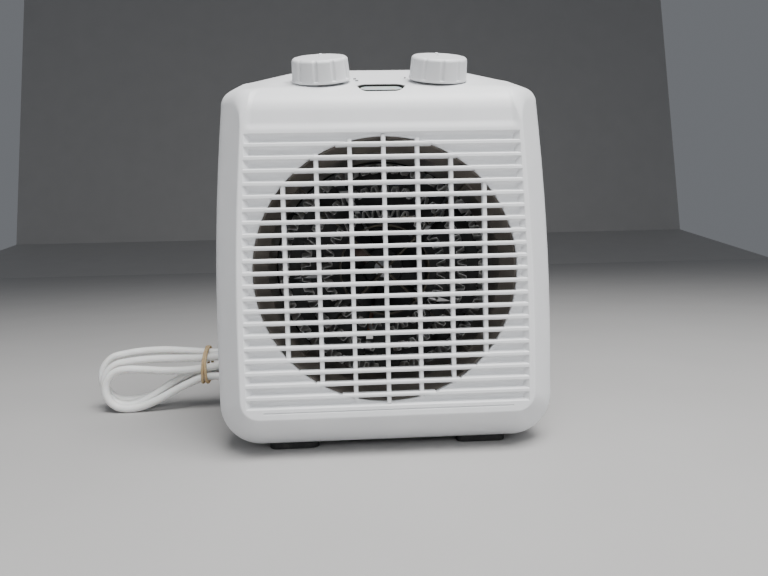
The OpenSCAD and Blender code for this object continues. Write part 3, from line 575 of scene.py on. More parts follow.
# ---- Motor ------------------------------------------------------------------------------------------------
# Open shaded-pole motor: a stack of stamped laminations, a taped coil below, and pressed brackets with
# sintered bushes, held by two long screws.
lamination_finish, shader, link = new_finish("lamination_stack", roughness=0.42, metallic=1.0)
place = link.node("TexCoord", out="Object")
depth = link.node("SeparateXYZ", sockets={"Vector": place}, out="Y")
sheet_phase = link.maths("FRACT", depth * 2000)
edge_mask = sheet_phase.above(0.72, 0.2)
rust = noise(link, 160, detail=5, roughness=0.7)
tint = rust.above(0.52, 0.2).mix((0.33, 0.345, 0.36, 1), (0.28, 0.2, 0.14, 1))
link.put(shader.inputs["Base Color"], edge_mask.mix(tint, (0.09, 0.09, 0.1, 1)))
link.put(shader.inputs["Roughness"], rust * 0.3 + 0.28)
bump(link, shader, (1 - edge_mask) * 0.8 + rust * 0.2, 0.0001, 0.7)
finish_node(lamination_finish, "motor_stator", "motor_rotor")

tape_finish, shader, link = new_finish("coil_tape", roughness=0.38, Coat_Weight=0.3)
wrap = link.node("TexWave", {"bands_direction": "X"}, {
    "Vector": link.node("TexCoord", out="Object"), "Scale": 45.0, "Distortion": 0.6, "Detail": 2.0,
}, out="Fac")
link.put(shader.inputs["Base Color"], wrap.above(0.3, 0.5).mix((0.20, 0.055, 0.02, 1), (0.33, 0.11, 0.045, 1)))
bump(link, shader, wrap, 0.0003, 0.5)
finish_node(tape_finish, "motor_coil")

zinc_finish = metal("zinc_plate", (0.42, 0.43, 0.45), (0.62, 0.63, 0.66), 0.36, wear=0.16)
finish_node(
    zinc_finish, "front_bracket", "rear_bracket", "motor_screws", "duct_screws", "casing_screws",
    "control_screws", "fan_clip",
)
shaft_finish = metal("ground_shaft", (0.5, 0.51, 0.53), (0.7, 0.71, 0.73), 0.24, scale=(8, 8, 0.4), wear=0.1)
finish_node(shaft_finish, "motor_shaft")
bronze_finish = metal("sintered_bronze", (0.30, 0.18, 0.08), (0.46, 0.30, 0.14), 0.5, wear=0.2, bump_depth=0.0002)
finish_node(bronze_finish, "motor_bushes")

# ---- Fan --------------------------------------------------------------------------------------------------
# Moulded axial fan: a cupped hub with a ring of short ribs, and five blades that twist from the hub to the
# tip, each a thin curved skin.
hub_low, hub_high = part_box("fan_impeller")
fan_y = (hub_low.y - panel_y) / mm + 2
fan_r = (hub_high.x - hub_low.x) / 2 / mm
fan_tip_r = max(fan_r, (hub_high.z - fan_centre.z) / mm)
blade_count, hub_rib_count = 5, 10
fan_hub_r, fan_hub_l, shaft_r = 15, 15, 2.5
blade_pitch, blade_twist, blade_chord, blade_narrowing, blade_sweep = 34, 12, 34, 1, 9
blade_rise, blade_reach, blade_reach_loss, blade_camber, blade_t = 0.42, 7.9, 1.2, 1.6, 1.5
blade_root_r, blade_tip_gap = fan_hub_r - 1.2, 0.6


def along_y(piece, y=0.0):
    """Turns a piece made along +Z to run back along +Y from the given depth."""
    piece.data.transform(Matrix.Translation((0, y, 0)) @ Matrix.Rotation(math.radians(-90), 4, "X"))
    return piece


fan = along_y(lathe("fan", [
    (fan_hub_r - 2.4, 0), (fan_hub_r - 0.8, 0.5), (fan_hub_r, 2), (fan_hub_r, fan_hub_l - 0.6),
    (fan_hub_r - 0.6, fan_hub_l), (fan_hub_r - 1.9, fan_hub_l), (fan_hub_r - 2.2, fan_hub_l - 0.6),
    (fan_hub_r - 2.2, 3.4), (6.6, 3.0), (6.0, 3.8), (6.0, fan_hub_l - 1), (5.4, fan_hub_l), (shaft_r, fan_hub_l),
]), fan_y)
bore = along_y(lathe("bore", [(shaft_r + 0.02, -5), (shaft_r + 0.02, fan_hub_l + 5)]), fan_y)
blade_parts = []
blade_rows, blade_columns = 10, 8
for k in range(blade_count):
    deselect_all()
    bpy.ops.mesh.primitive_grid_add(x_subdivisions=blade_columns, y_subdivisions=blade_rows, size=2)
    blade = bpy.context.object
    turn = Matrix.Rotation(2 * math.pi * k / blade_count, 4, "Y")
    for vertex in blade.data.vertices:
        across, out = vertex.co.x, (vertex.co.y + 1) / 2
        radius = blade_root_r + (fan_tip_r - blade_tip_gap - blade_root_r) * out
        pitch = math.radians(blade_pitch - blade_twist * out)
        half_chord = math.radians(blade_chord - blade_narrowing * out)
        swing = across * half_chord + math.radians(blade_sweep) * out
        rise = across * radius * half_chord * math.tan(pitch) * blade_rise
        limit = blade_reach - blade_reach_loss * out
        camber = blade_camber * (1 - across * across) * out
        depth = max(-limit, min(limit, rise)) + fan_hub_l / 2 - camber
        vertex.co = turn @ Vector((radius * math.cos(swing), fan_y + depth, radius * math.sin(swing)))
    thicken = blade.modifiers.new("thicken", "SOLIDIFY")
    thicken.thickness, thicken.offset = blade_t, 0
    bpy.ops.object.modifier_apply(modifier=thicken.name)
    blade_parts.append(blade)
hub_ribs = []
for k in range(hub_rib_count):
    rib = block((6, fan_y + 3.2, -0.6), (fan_hub_r - 2, fan_y + fan_hub_l - 3, 0.6), 0.25)
    rib.data.transform(Matrix.Rotation(2 * math.pi * k / hub_rib_count, 4, "Y"))
    hub_ribs.append(rib)
carve(fan, "UNION", *blade_parts)
carve(fan, "UNION", *hub_ribs)
carve(fan, "DIFFERENCE", bore)
fan.name = "fan_moulding"
smooth_shade(fan, 40)
seat(fan, body_frame)
fan_finish = moulded_plastic(
    "fan_plastic", (0.014, 0.0145, 0.015), (0.024, 0.025, 0.026), roughness=0.42, grain=0.0001
)
fan.data.materials.append(fan_finish)
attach(fan, "fan_rotor")
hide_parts("fan_impeller")

# ---- Controls and wiring inside ---------------------------------------------------------------------------
# Room thermostat, rotary switch, terminal block, clamp and neon lamp. They are bought-in pieces of phenolic,
# nylon and glass, seen only through the slots and holes, and keep their CAD shape.
phenolic_finish = moulded_plastic("control_phenolic", (0.5, 0.43, 0.31), (0.62, 0.55, 0.42), roughness=0.5)
nylon_finish = moulded_plastic("natural_nylon", (0.68, 0.66, 0.58), (0.76, 0.74, 0.67), roughness=0.4)
finish_node(phenolic_finish, "thermostat_body")
finish_node(nylon_finish, "switch_spindle", "terminal_block", "cord_clamp")

lamp_finish, shader, link = new_finish("neon_glass", roughness=0.12, Transmission_Weight=0.6, IOR=1.47)
warm = noise(link, 300, detail=2)
link.put(shader.inputs["Base Color"], warm.mix((0.85, 0.32, 0.12, 1), (0.95, 0.55, 0.28, 1)))
finish_node(lamp_finish, "indicator_lamp")

wire_finish, shader, link = new_finish("wire_insulation", roughness=0.4)
side = link.node("SeparateXYZ", sockets={"Vector": link.node("TexCoord", out="Object")}, out="X")
scuff = noise(link, 240, detail=4)
colour = side.above(0.0, 0.001).mix((0.05, 0.14, 0.42, 1), (0.28, 0.13, 0.06, 1))
link.put(shader.inputs["Base Color"], (scuff * 0.35).mix(colour, (0.5, 0.45, 0.4, 1)))
bump(link, shader, scuff, 0.0002, 0.4)
finish_node(wire_finish, "wiring_loom")

# ---- Front casing -----------------------------------------------------------------------------------------
# Injection-moulded white shell, 2.4 mm thick: a flat panel with level grooves and a round outlet crossed by ribs,
# a dished band above them, a sloped border, and a roll that turns the panel into the knob deck. Sizes below are
# in millimetres, counted back from the panel and out from the fan's axis.
front_low, front_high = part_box("front_casing")
rear_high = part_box("rear_casing")[1]
half_w = front_high.x / mm
floor_z = (front_low.z - fan_centre.z) / mm
part_y = (front_high.y - panel_y) / mm
body_d = (rear_high.y - panel_y) / mm
wall, panel_t = 2.4, 6
outlet_r, rib_pitch, rib_half, rib_rows = 89.5, 8.4, 1.4, 11
bar_pitch, bar_half, bar_columns = 22.4, 1.5, 3
groove_depth, field_half = 3.6, 96.5
border_in, chin_lean, corner_lean = 20, 1.25, 0.85
corner_r, rear_round = 30, 14
roll_r, deck_slope = 21, math.radians(24.6)
deck_line, crest_r, crest_back, back_drop = outlet_r + 29.2, 30, 42, 46
shoulder_slope, shoulder_r = 0.22, 11
belly_z, side_curve = floor_z + 64, 0.00031
knob_joints = [joints["thermostat_turn"], joints["heat_switch_turn"]]

roll_y = roll_r * (1 - math.sin(deck_slope))
roll_z = deck_line + math.tan(deck_slope) * roll_y - roll_r * math.cos(deck_slope)
crest_y = body_d - crest_back
crest_bend_y = crest_y - crest_r * math.sin(deck_slope)
crest_z = deck_line + math.tan(deck_slope) * crest_bend_y + crest_r * (1 - math.cos(deck_slope))


def top_z(y):
    """Height of the roll, the deck, the crest and the back, along the middle."""
    y = max(0.0, min(body_d, y))
    if y < roll_y:
        return roll_z + math.sqrt(roll_r**2 - (roll_r - y) ** 2)
    if y < crest_bend_y:
        return deck_line + math.tan(deck_slope) * y
    if y < crest_y:
        return crest_z - crest_r + math.sqrt(crest_r**2 - (crest_y - y) ** 2)
    return crest_z - back_drop + back_drop * math.sqrt(max(0.0, 1 - ((y - crest_y) / crest_back) ** 2))


def front_in(y):
    """The sloped border, eased into the side."""
    reach = border_in * (1 - y * 0.0411)
    return (reach + math.hypot(reach, 3.0)) / 2


def rear_in(y):
    late = min(rear_round, max(0.0, y - body_d + rear_round))
    return rear_round - math.sqrt(rear_round**2 - late**2)


def half_width(z):
    return half_w - side_curve * max(0.0, z - belly_z) ** 2


def crown(x, y):
    """The deck is flat across, then its shoulders slope down; the bend between them is soft."""
    past = x - (field_half - 8.5 - 0.37 * y)
    soft = (past + math.hypot(past, 5.0)) / 2
    return top_z(y) - shoulder_slope * min(1.0, y / 20) * soft


def outline(y, inset):
    """The section at a depth, drawn in by inset: from the bottom's middle up the right side and down the left."""
    side_in = front_in(y) + rear_in(y) + 2 * max(0.0, y - 40) / 90
    low = floor_z + chin_lean * front_in(y) + rear_in(y) + inset
    corner = max(4.0, corner_r - corner_lean * front_in(y) - rear_in(y) / 2 - inset)
    corner_x = half_width(low) - side_in - inset - corner
    round_r = max(5.0, shoulder_r - inset / 2)
    top = min(top_z(y) - 14, 114)
    round_x = half_width(top) - side_in - inset - round_r
    round_z = crown(round_x, y) - inset - round_r
    points = [(corner_x * k / 4, low) for k in range(4)]
    for k in range(13):
        angle = math.radians(-90 + 7.5 * k)
        points.append((corner_x + corner * math.cos(angle), low + corner + corner * math.sin(angle)))
    for k in range(1, 10):
        z = low + corner + (round_z - low - corner) * k / 10
        points.append((half_width(z) - side_in - inset, z))
    last_angle = math.pi / 2 - math.atan(shoulder_slope * min(1.0, y / 20))
    for k in range(11):
        angle = last_angle * k / 10
        points.append((round_x + round_r * math.cos(angle), round_z + round_r * math.sin(angle)))
    edge_x = points[-1][0]
    points += [(edge_x * (1 - k / 18), crown(edge_x * (1 - k / 18), y) - inset) for k in range(1, 19)]
    return points + [(-x, z) for x, z in reversed(points[1:-1])]


def close_up(body):
    """Joins a wrapped grid's seam, fills its two ends and turns its faces outwards."""
    bpy.ops.object.mode_set(mode="EDIT")
    bpy.ops.mesh.select_all(action="SELECT")
    bpy.ops.mesh.remove_doubles(threshold=0.001)
    bpy.ops.mesh.select_all(action="DESELECT")
    bpy.ops.mesh.select_mode(type="EDGE")
    bpy.ops.mesh.select_non_manifold(extend=False)
    bpy.ops.mesh.edge_face_add()
    bpy.ops.mesh.select_all(action="SELECT")
    bpy.ops.mesh.normals_make_consistent(inside=False)
    bpy.ops.object.mode_set(mode="OBJECT")


def skin(name, stations):
    """A closed body: a grid wrapped round through the outlines at (depth, inset) stations."""
    loops = [outline(max(0.0, y), inset) for y, inset in stations]
    around = len(loops[0])
    deselect_all()
    bpy.ops.mesh.primitive_grid_add(x_subdivisions=around, y_subdivisions=len(loops) - 1, size=1)
    body = bpy.context.object
    body.name = name
    for i, vertex in enumerate(body.data.vertices):
        row, column = divmod(i, around + 1)
        x, z = loops[row][column % around]
        vertex.co = (x, stations[row][0], z)
    close_up(body)
    return body


def bar_y(radius, start, end, x=0.0, z=0.0, steps=40):
    """A round bar along Y."""
    deselect_all()
    bpy.ops.mesh.primitive_cylinder_add(vertices=steps, radius=radius, depth=end - start)
    bar = bpy.context.object
    bar.data.transform(Matrix.Translation((x, (start + end) / 2, z)) @ Matrix.Rotation(math.radians(-90), 4, "X"))
    return bar


# Stations: the panel's rounded edge, the roll, the deck and the parting line
edge = [(0, 0.95), (0.06, 0.55), (0.25, 0.22), (0.6, 0.03)]
roll = [(roll_r * (1 - math.cos(math.radians(a))), 0) for a in range(17, 66, 4)]
deck = [(y, 0) for y in (13.5, 15, 16.5, 18, 20, 22, 24, 26, 28.5, 32, 37, 43, 50, part_y - 0.7)]
front_casing = skin("front_shell", edge + roll + deck + [(part_y - 0.05, 0.45)])
hollow = skin("hollow", [(y, wall) for y in (panel_t, 7.5, 9, roll_y, 16, 20, 24, 28, 36, 48, part_y + 4)])

screw_x, screw_top_z, screw_low_z, screw_seat_y = half_w - 27, roll_z - 10, floor_z + 27, body_d - 24
screw_places = [(s * (screw_x - (7 if z > 0 else 0)), z) for s in (-1, 1) for z in (screw_low_z, screw_top_z)]
carve(hollow, "DIFFERENCE", *[bar_y(4.6, 0, part_y, x, z) for x, z in screw_places])
carve(front_casing, "DIFFERENCE", hollow)
carve(front_casing, "DIFFERENCE", *[bar_y(1.5, part_y - 20, part_y + 1, x, z) for x, z in screw_places])


def field_edge(z):
    """Half the grooved field's width at a height."""
    return field_half - 0.8 * side_curve * max(0.0, z - belly_z) ** 2


def coved_cut(name, rows):
    """A solid skinned over rings of (half width, depth, top, bottom), outermost first: a cut with sloping ends."""
    deselect_all()
    bpy.ops.mesh.primitive_grid_add(x_subdivisions=4, y_subdivisions=len(rows) - 1, size=1)
    cut = bpy.context.object
    cut.name = name
    for i, vertex in enumerate(cut.data.vertices):
        row, column = divmod(i, 5)
        half, depth, top, bottom = rows[row]
        vertex.co = (half if column in (1, 2) else -half, depth, top if column in (2, 3) else bottom)
    close_up(cut)
    return cut


# Above the grooves the panel and the roll are dished between soft ridges, which turn in at the deck
dish_depth, dish_slope, dish_low = 0.95, 5.5, rib_rows * rib_pitch + 0.6
dish_half, dish_past, dish_over = 91.5, 1.5, 4
dish_turn, dish_steps, dish_ends = 3.1, 20, 13


def soft_step(t):
    t = max(0.0, min(1.0, t))
    return t * t * (3 - 2 * t)


def dish_outline(depth):
    """The dished surface's (y, z) from the top groove up the panel and round the roll, then back outside it."""
    points = []
    for k in range(17):
        z = dish_low + (roll_z - dish_low) * k / 16
        points.append((depth * soft_step((z - dish_low) / dish_slope), z))
    for k in range(1, dish_steps + 1):
        angle = math.radians(dish_turn * k)
        fade = 1 - soft_step((k - dish_ends) / (dish_steps - dish_ends))
        radius = roll_r - depth * fade + (0.02 if k == dish_steps else 0)
        points.append((roll_r - radius * math.cos(angle), roll_z + radius * math.sin(angle)))
    last_y, last_z = points[-1]
    return points + [(last_y, last_z + 6), (-dish_over, last_z + 6), (-dish_over, dish_low)]


dish_xs = [(-dish_half + dish_slope * k / 6, soft_step(k / 6)) for k in range(7)]
dish_rows = [(-dish_half - dish_past, -0.02)] + dish_xs
dish_rows += [(-x, share) for x, share in reversed(dish_rows)]
rings = [dish_outline(dish_depth * share) for x, share in dish_rows]
deselect_all()
bpy.ops.mesh.primitive_grid_add(x_subdivisions=len(rings[0]), y_subdivisions=len(rings) - 1, size=1)
dish = bpy.context.object
for i, vertex in enumerate(dish.data.vertices):
    row, column = divmod(i, len(rings[0]) + 1)
    y, z = rings[row][column % len(rings[0])]
    taper_up, taper_back = 0.028 * soft_step((z - dish_low) / 30), 0.05 * soft_step((y - 2) / 9)
    vertex.co = (dish_rows[row][0] * (1 - taper_up - taper_back), y, z)
close_up(dish)
carve(front_casing, "DIFFERENCE", dish)

# The grooves are coves, deepest low down, with their ends cut at 45 degrees
groove_gap = rib_pitch - 2 * rib_half
cove = [(-2, -0.1, -0.1), (0, -0.1, -0.1), (0.1, 0, 0), (0.35, 0.03, 0.03), (0.62, 0.10, 0.07), (0.82, 0.19, 0.12),
        (0.95, 0.32, 0.18), (1.0, 0.46, 0.25)]
grooves = []
for i in range(1 - rib_rows, rib_rows + 1):
    top = i * rib_pitch - rib_half
    half = field_edge(top - groove_gap / 2)
    grooves.append(coved_cut("groove", [
        (half - groove_depth * max(0, deep), groove_depth * deep,
         top - upper * groove_gap, top - groove_gap * (1 - lower))
        for deep, upper, lower in cove
    ]))
line_z = -rib_rows * rib_pitch - rib_half
grooves.append(coved_cut("line", [
    (field_half - 11, -1, line_z + 0.1, line_z - 1.1), (field_half - 11, 0, line_z + 0.1, line_z - 1.1),
    (field_half - 12, 0.8, line_z - 0.3, line_z - 0.7),
]))
carve(front_casing, "DIFFERENCE", *grooves)
carve(front_casing, "DIFFERENCE", bar_y(outlet_r, -3, panel_t + 1, steps=160))


def profile_bar(profile, length, upright=False):
    """A bar of one section, given as (depth, height) points, along X, or along Z with height across."""
    deselect_all()
    bpy.ops.mesh.primitive_circle_add(vertices=len(profile), fill_type="NGON")
    bar = bpy.context.object
    for vertex, (depth, height) in zip(bar.data.vertices, profile):
        vertex.co = (height, depth, -length / 2) if upright else (-length / 2, depth, height)
    bpy.ops.object.mode_set(mode="EDIT")
    bpy.ops.mesh.select_all(action="SELECT")
    way = (0, 0, length) if upright else (length, 0, 0)
    bpy.ops.mesh.extrude_region_move(TRANSFORM_OT_translate={"value": way})
    bpy.ops.mesh.select_all(action="SELECT")
    bpy.ops.mesh.normals_make_consistent(inside=False)
    bpy.ops.object.mode_set(mode="OBJECT")
    return bar


crest_depth = 0.9


def rib_section(depth):
    """A rib's section: a rounded crest and two flat flanks."""
    crest = []
    for a in range(-90, 91, 20):
        angle = math.radians(a)
        crest.append((crest_depth - crest_depth * math.cos(angle), rib_half * math.sin(angle)))
    return [(depth, -rib_half)] + crest + [(depth, rib_half)]


bars = []
bar_sink = 1.5
for i in range(-rib_rows, rib_rows + 1):
    z = i * rib_pitch
    if abs(z) < outlet_r:
        rib = profile_bar(rib_section(panel_t - 0.4), 2 * math.sqrt(outlet_r**2 - z * z) + bar_sink)
        rib.data.transform(Matrix.Translation((0, 0, z)))
        bars.append(rib)
upright_half = [(5.2, bar_half), (2.0, bar_half), (1.4, 1.2), (1.2, 0.6)]
upright_section = [(y, -x) for y, x in upright_half] + upright_half[::-1]
for j in range(-bar_columns, bar_columns + 1):
    x = j * bar_pitch
    bar = profile_bar(upright_section, 2 * math.sqrt(outlet_r**2 - x * x) + bar_sink, upright=True)
    bar.data.transform(Matrix.Translation((x, 0, 0)))
    bars.append(bar)
carve(front_casing, "UNION", *bars)

# Holes in the deck for the spindles and the lens
lens_l, lens_w, lens_gap, spindle_hole_r = 31, 13.4, 0.75, 5
lens_low_y = 6
lens_high_y = lens_low_y + lens_w
lens_tilt = math.atan((top_z(lens_high_y) - top_z(lens_low_y)) / lens_w)
lens_frame = (
    Matrix.Translation((0, (lens_low_y + lens_high_y) / 2, (top_z(lens_low_y) + top_z(lens_high_y)) / 2))
    @ Matrix.Rotation(lens_tilt, 4, "X")
)


def pill(length, width, low, high, steps=56):
    """A flat piece with two straight sides and two round ends."""
    deselect_all()
    turn = (0, 0, math.pi / steps)
    bpy.ops.mesh.primitive_circle_add(vertices=steps, radius=width / 2, fill_type="NGON", rotation=turn)
    bpy.ops.object.transform_apply(location=True, rotation=True, scale=True)
    piece = bpy.context.object
    for vertex in piece.data.vertices:
        vertex.co.x += math.copysign((length - width) / 2, vertex.co.x)
        vertex.co.z = low
    bpy.ops.object.mode_set(mode="EDIT")
    bpy.ops.mesh.select_all(action="SELECT")
    bpy.ops.mesh.extrude_region_move(TRANSFORM_OT_translate={"value": (0, 0, high - low)})
    bpy.ops.mesh.select_all(action="SELECT")
    bpy.ops.mesh.normals_make_consistent(inside=False)
    bpy.ops.object.mode_set(mode="OBJECT")
    return piece


def knob_frame(joint):
    """The knob's own frame, in millimetres: its axis is +Z and the deck is z = 0."""
    x, y, z = joint["axis"]
    lean, tilt = math.asin(x), math.atan2(-y, z)
    place = (Vector(joint["pos_m"]) - Vector((0, panel_y, fan_centre.z))) / mm
    return Matrix.Translation(place) @ Matrix.Rotation(tilt, 4, "X") @ Matrix.Rotation(lean, 4, "Y")


deck_holes = [pill(lens_l + 2 * lens_gap, lens_w + 2 * lens_gap, -8, 8)]
deck_holes[0].data.transform(lens_frame)
for joint in knob_joints:
    hole = lathe("hole", [(spindle_hole_r, -12), (spindle_hole_r, 4)])
    hole.data.transform(knob_frame(joint))
    deck_holes.append(hole)
carve(front_casing, "DIFFERENCE", *deck_holes)
smooth_shade(front_casing, 28)
seat(front_casing, body_frame)
front_casing.data.materials.append(casing_finish)
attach(front_casing, "housing")
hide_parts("front_casing")

# ---- Rear casing ------------------------------------------------------------------------------------------
# The back half of the white shell: a slotted round intake with a raised rim, four deep screw wells, and the
# hole that grips the gland. Four screws from behind draw it onto the front half.
intake_r, slot_pitch, slot_half, slot_middle = outlet_r - 14, 8, 1.8, 3
bend = [(y, 0) for y in (62, 68, 74, 80, 84, crest_y)]
late = sorted(
    [crest_y + crest_back * math.sin(math.radians(a)) for a in (8, 16, 24, 32, 39)]
    + [body_d - rear_round + rear_round * math.sin(math.radians(a)) for a in range(0, 91, 9)]
)
rear_casing = skin("rear_shell", [(part_y + 0.2, 0.45), (part_y + 0.85, 0)] + bend + [(y, 0) for y in late])
hollow_ys = (part_y - 4, 66, 74, 82, crest_y, 96, 104, 110, 116, 120, 124, body_d - wall)
hollow = skin("hollow", [(y, wall) for y in hollow_ys])
wells = [bar_y(7, screw_seat_y - 4, body_d + 2, x, z) for x, z in screw_places]
posts = [bar_y(4.6, part_y - 6, screw_seat_y - 1, x, z) for x, z in screw_places]
carve(hollow, "DIFFERENCE", *wells, *posts)
carve(rear_casing, "DIFFERENCE", hollow)
carve(rear_casing, "DIFFERENCE", *[bar_y(4.8, screw_seat_y, body_d + 2, x, z) for x, z in screw_places])
carve(rear_casing, "DIFFERENCE", *[bar_y(2.2, part_y - 2, screw_seat_y + 1, x, z) for x, z in screw_places])

rim = along_y(lathe("rim", [
    (intake_r + 2.0, 0), (intake_r + 5.4, 0), (intake_r + 5.4, 1.0), (intake_r + 4.6, 1.7), (intake_r + 3.0, 1.7),
    (intake_r + 2.2, 1.0), (intake_r + 2.0, 0.2),
], steps=128), body_d - 1)
carve(rim, "DIFFERENCE", bar_y(intake_r + 2.2, body_d - 3, body_d + 3, steps=128))
carve(rear_casing, "UNION", rim)
cuts = []
for i in range(-9, 10):
    z = i * slot_pitch
    end = math.sqrt(intake_r**2 - z * z)
    for side in (-1, 1):
        slot = block((slot_middle, body_d - 5, z - slot_half), (end, body_d + 3, z + slot_half))
        slot.data.transform(Matrix.Scale(side, 4, (1, 0, 0)))
        if side < 0:
            slot.data.flip_normals()
        cuts.append(slot)
cuts.append(bar_y(6.65, body_d - 12, body_d + 2, gland_x / mm, (gland_z - fan_centre.z) / mm))
carve(rear_casing, "DIFFERENCE", *cuts)
smooth_shade(rear_casing, 28)
seat(rear_casing, body_frame)
rear_casing.data.materials.append(casing_finish)
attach(rear_casing, "housing")
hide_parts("rear_casing")

# ---- Rubber feet ------------------------------------------------------------------------------------------
# Four long pads of black rubber under the shells, each with a rounded edge and three grooves across the sole.
foot_l, foot_w, foot_round = 36, 11, 0.9
tread_pitch, tread_half_w, tread_half_l, tread_depth = 9, 0.7, 4.2, 0.9
feet_low, feet_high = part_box("rubber_feet")
foot_low = (feet_low.z - fan_centre.z) / mm
foot_x = feet_high.x / mm - foot_l / 2
foot_ys = [(feet_low.y - panel_y) / mm + foot_w / 2, (feet_high.y - panel_y) / mm - foot_w / 2]


def soften(piece, width, steps):
    """Rounds the sharp edges of the active piece."""
    soft = piece.modifiers.new("soft", "BEVEL")
    soft.width, soft.segments, soft.limit_method, soft.angle_limit = width, steps, "ANGLE", math.radians(60)
    bpy.ops.object.modifier_apply(modifier=soft.name)


foot_parts = []
for x in (-foot_x, foot_x):
    for y in foot_ys:
        foot = pill(foot_l, foot_w, 0, floor_z - foot_low + 0.5)
        soften(foot, foot_round, 3)
        treads = [
            block((x_tread - tread_half_w, -tread_half_l, -1), (x_tread + tread_half_w, tread_half_l, tread_depth), 0.3)
            for x_tread in (-tread_pitch, 0, tread_pitch)
        ]
        carve(foot, "DIFFERENCE", *treads)
        foot.data.transform(Matrix.Translation((x, y, foot_low)))
        foot_parts.append(foot)
feet = join(foot_parts)
feet.name = "foot_pads"
smooth_shade(feet)
seat(feet, body_frame)
rubber_finish, shader, link = new_finish("foot_rubber", roughness=0.75)
dust = noise(link, 140, detail=5, roughness=0.7)
link.put(shader.inputs["Base Color"], dust.above(0.48, 0.3).mix((0.018, 0.018, 0.018, 1), (0.07, 0.068, 0.064, 1)))
link.put(shader.inputs["Roughness"], dust * 0.25 + 0.6)
bump(link, shader, noise(link, 1500, detail=2), 0.0002, 0.6)
feet.data.materials.append(rubber_finish)
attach(feet, "housing")
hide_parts("rubber_feet")

# ---- Indicator lens ---------------------------------------------------------------------------------------
# Milky pill-shaped window, set a little below the deck, with a flange under the shell. A thin near-black ring fills
# the gap round it: painted shade standing in for the shadow down in the gap.
window_in, shade_ring_out, shade_ring_in = 1.8, 1.45, 0.6
lens = pill(lens_l - window_in, lens_w - window_in, -4, -1.1)
lens.name = "lens_window"
soften(lens, 0.7, 4)
flange = pill(lens_l + 5, lens_w + 3, -5.6, -3.9)
carve(lens, "UNION", flange)
# Near-black ring in the gap round the lens: painted shade for the shadowed gap
shade_ring = pill(lens_l + shade_ring_out, lens_w + shade_ring_out, -3.8, -0.2)
carve(shade_ring, "DIFFERENCE", pill(lens_l - shade_ring_in, lens_w - shade_ring_in, -1.6, 1))
lens.data.transform(lens_frame)
shade_ring.data.transform(lens_frame)
smooth_shade(lens)
seat(lens, body_frame)
seat(shade_ring, body_frame)
shade_ring.name = "lens_gap_shade"
# Near-black colour: painted shade standing in for the shadow in the gap round the lens
shade_ring_finish = moulded_plastic("painted_gap_shade", (0.006, 0.006, 0.006), (0.012, 0.012, 0.012), roughness=0.7)
shade_ring.data.materials.append(shade_ring_finish)
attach(shade_ring, "housing")
lens_finish, shader, link = new_finish("milky_lens", roughness=0.18, Coat_Weight=0.4, Subsurface_Weight=0.25)
cloud = noise(link, 180, detail=3)
link.put(shader.inputs["Base Color"], cloud.above(0.3, 0.5).mix((0.60, 0.60, 0.58, 1), (0.70, 0.70, 0.68, 1)))
link.put(shader.inputs["Roughness"], cloud * 0.12 + 0.14)
bump(link, shader, noise(link, 900, detail=1), 0.00005, 0.4)
lens.data.materials.append(lens_finish)
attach(lens, "housing")
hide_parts("indicator_lens")

# ---- Knobs ------------------------------------------------------------------------------------------------
# Two white knobs with a plain skirt, ten narrow flutes, a rounded shoulder and a raised pointer on top. They
# are hollow underneath, with a socket that pushes onto the spindle.
knob_gap, knob_h, knob_r, knob_top_r, knob_round = 1.3, 15.2, 20.3, 19.2, 2.4
knob_top = knob_gap + knob_h
flute_count, flute_depth, flute_w = 10, 0.95, 1.25
spindle_r = 3.0
flute_low, flute_r, flute_fade = knob_gap + 1.9, 16.5, 1.6
shoulder = []
for a in range(0, 91, 10):
    angle = math.radians(a)
    shoulder.append((knob_top_r - knob_round * (1 - math.cos(angle)), knob_top - knob_round * (1 - math.sin(angle))))
knob_profile = [
    (spindle_r + 0.02, 12.7), (spindle_r + 0.02, 2.7), (6.2, 2.7), (6.2, 14.3), (15.2, 14.3), (15.2, knob_gap + 0.2),
    (15.4, knob_gap), (knob_r - 0.4, knob_gap), (knob_r, knob_gap + 0.35), (knob_r, knob_gap + 1.1),
    (knob_r - 0.15, knob_gap + 1.4), (knob_r - 0.4, knob_gap + 2.0), (knob_top_r + 0.35, 9.0),
] + shoulder + [(14.5, knob_top - 0.02), (10, knob_top - 0.12), (3, knob_top - 0.2)]
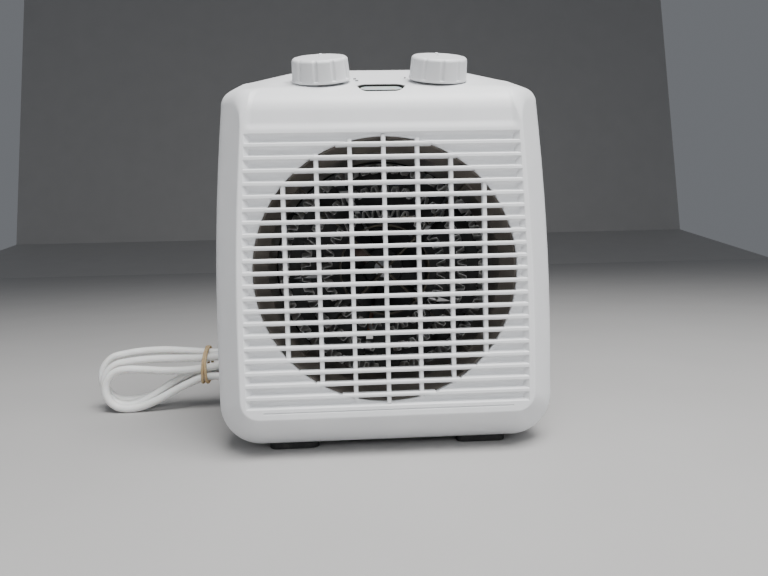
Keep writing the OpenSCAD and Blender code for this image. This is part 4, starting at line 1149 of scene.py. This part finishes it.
knob_finish = moulded_plastic("knob_plastic", (0.73, 0.74, 0.755), (0.77, 0.78, 0.795), roughness=0.38, grain=0.0001)
knobs = (
    (knob_joints[0], "thermostat_knob", "thermostat_dial", math.radians(7.7)),
    (knob_joints[1], "switch_knob", "heat_dial", 0.0),
)
for joint, node, dial, flute_turn in knobs:
    knob = lathe(node + "_cap", knob_profile, steps=320)
    for vertex in knob.data.vertices:
        radius, height = vertex.co.xy.length, vertex.co.z
        if radius < flute_r or height < flute_low:
            continue
        angle = math.atan2(vertex.co.y, vertex.co.x)
        step = 2 * math.pi / flute_count
        off = (angle - step / 2 + flute_turn) / step
        arc = abs(off - round(off)) * step * radius
        fade = min(1.0, (radius - flute_r) / flute_fade)
        shape = math.exp(-((arc / flute_w) ** 4))
        vertex.co.xy *= 1 - flute_depth * fade * shape / radius
    pointer = block((-1, 4.5, knob_top - 1), (1, knob_top_r - 3.2, knob_top + 0.55), 0.45, 3)
    carve(knob, "UNION", pointer)
    knob.data.transform(knob_frame(joint))
    smooth_shade(knob, 40)
    seat(knob, body_frame)
    knob.data.materials.append(knob_finish)
    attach(knob, dial)
    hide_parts(node)

# ---- Dial marks -------------------------------------------------------------------------------------------
# Small raised marks on the deck beside and behind the knobs: a scale of short ticks for the room thermostat,
# and one dot for each setting of the heat switch.
mark_r, mark_h, mark_w = 24.6, 0.3, 1.1
marks = []
for joint, angles, long in ((knob_joints[0], range(0, 181, 20), 2.2), (knob_joints[1], range(25, 156, 43), 1.3)):
    for angle in angles:
        mark = pill(long, mark_w, -0.4, mark_h, steps=20)
        turn = Matrix.Rotation(math.radians(angle), 4, "Z")
        mark.data.transform(knob_frame(joint) @ turn @ Matrix.Translation((mark_r, 0, 0)))
        marks.append(mark)
dial_marks = join(marks)
dial_marks.name = "dial_marks"
smooth_shade(dial_marks)
seat(dial_marks, body_frame)
mark_finish = moulded_plastic("mark_ink", (0.16, 0.165, 0.17), (0.24, 0.245, 0.25), roughness=0.45)
dial_marks.data.materials.append(mark_finish)
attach(dial_marks, "housing")
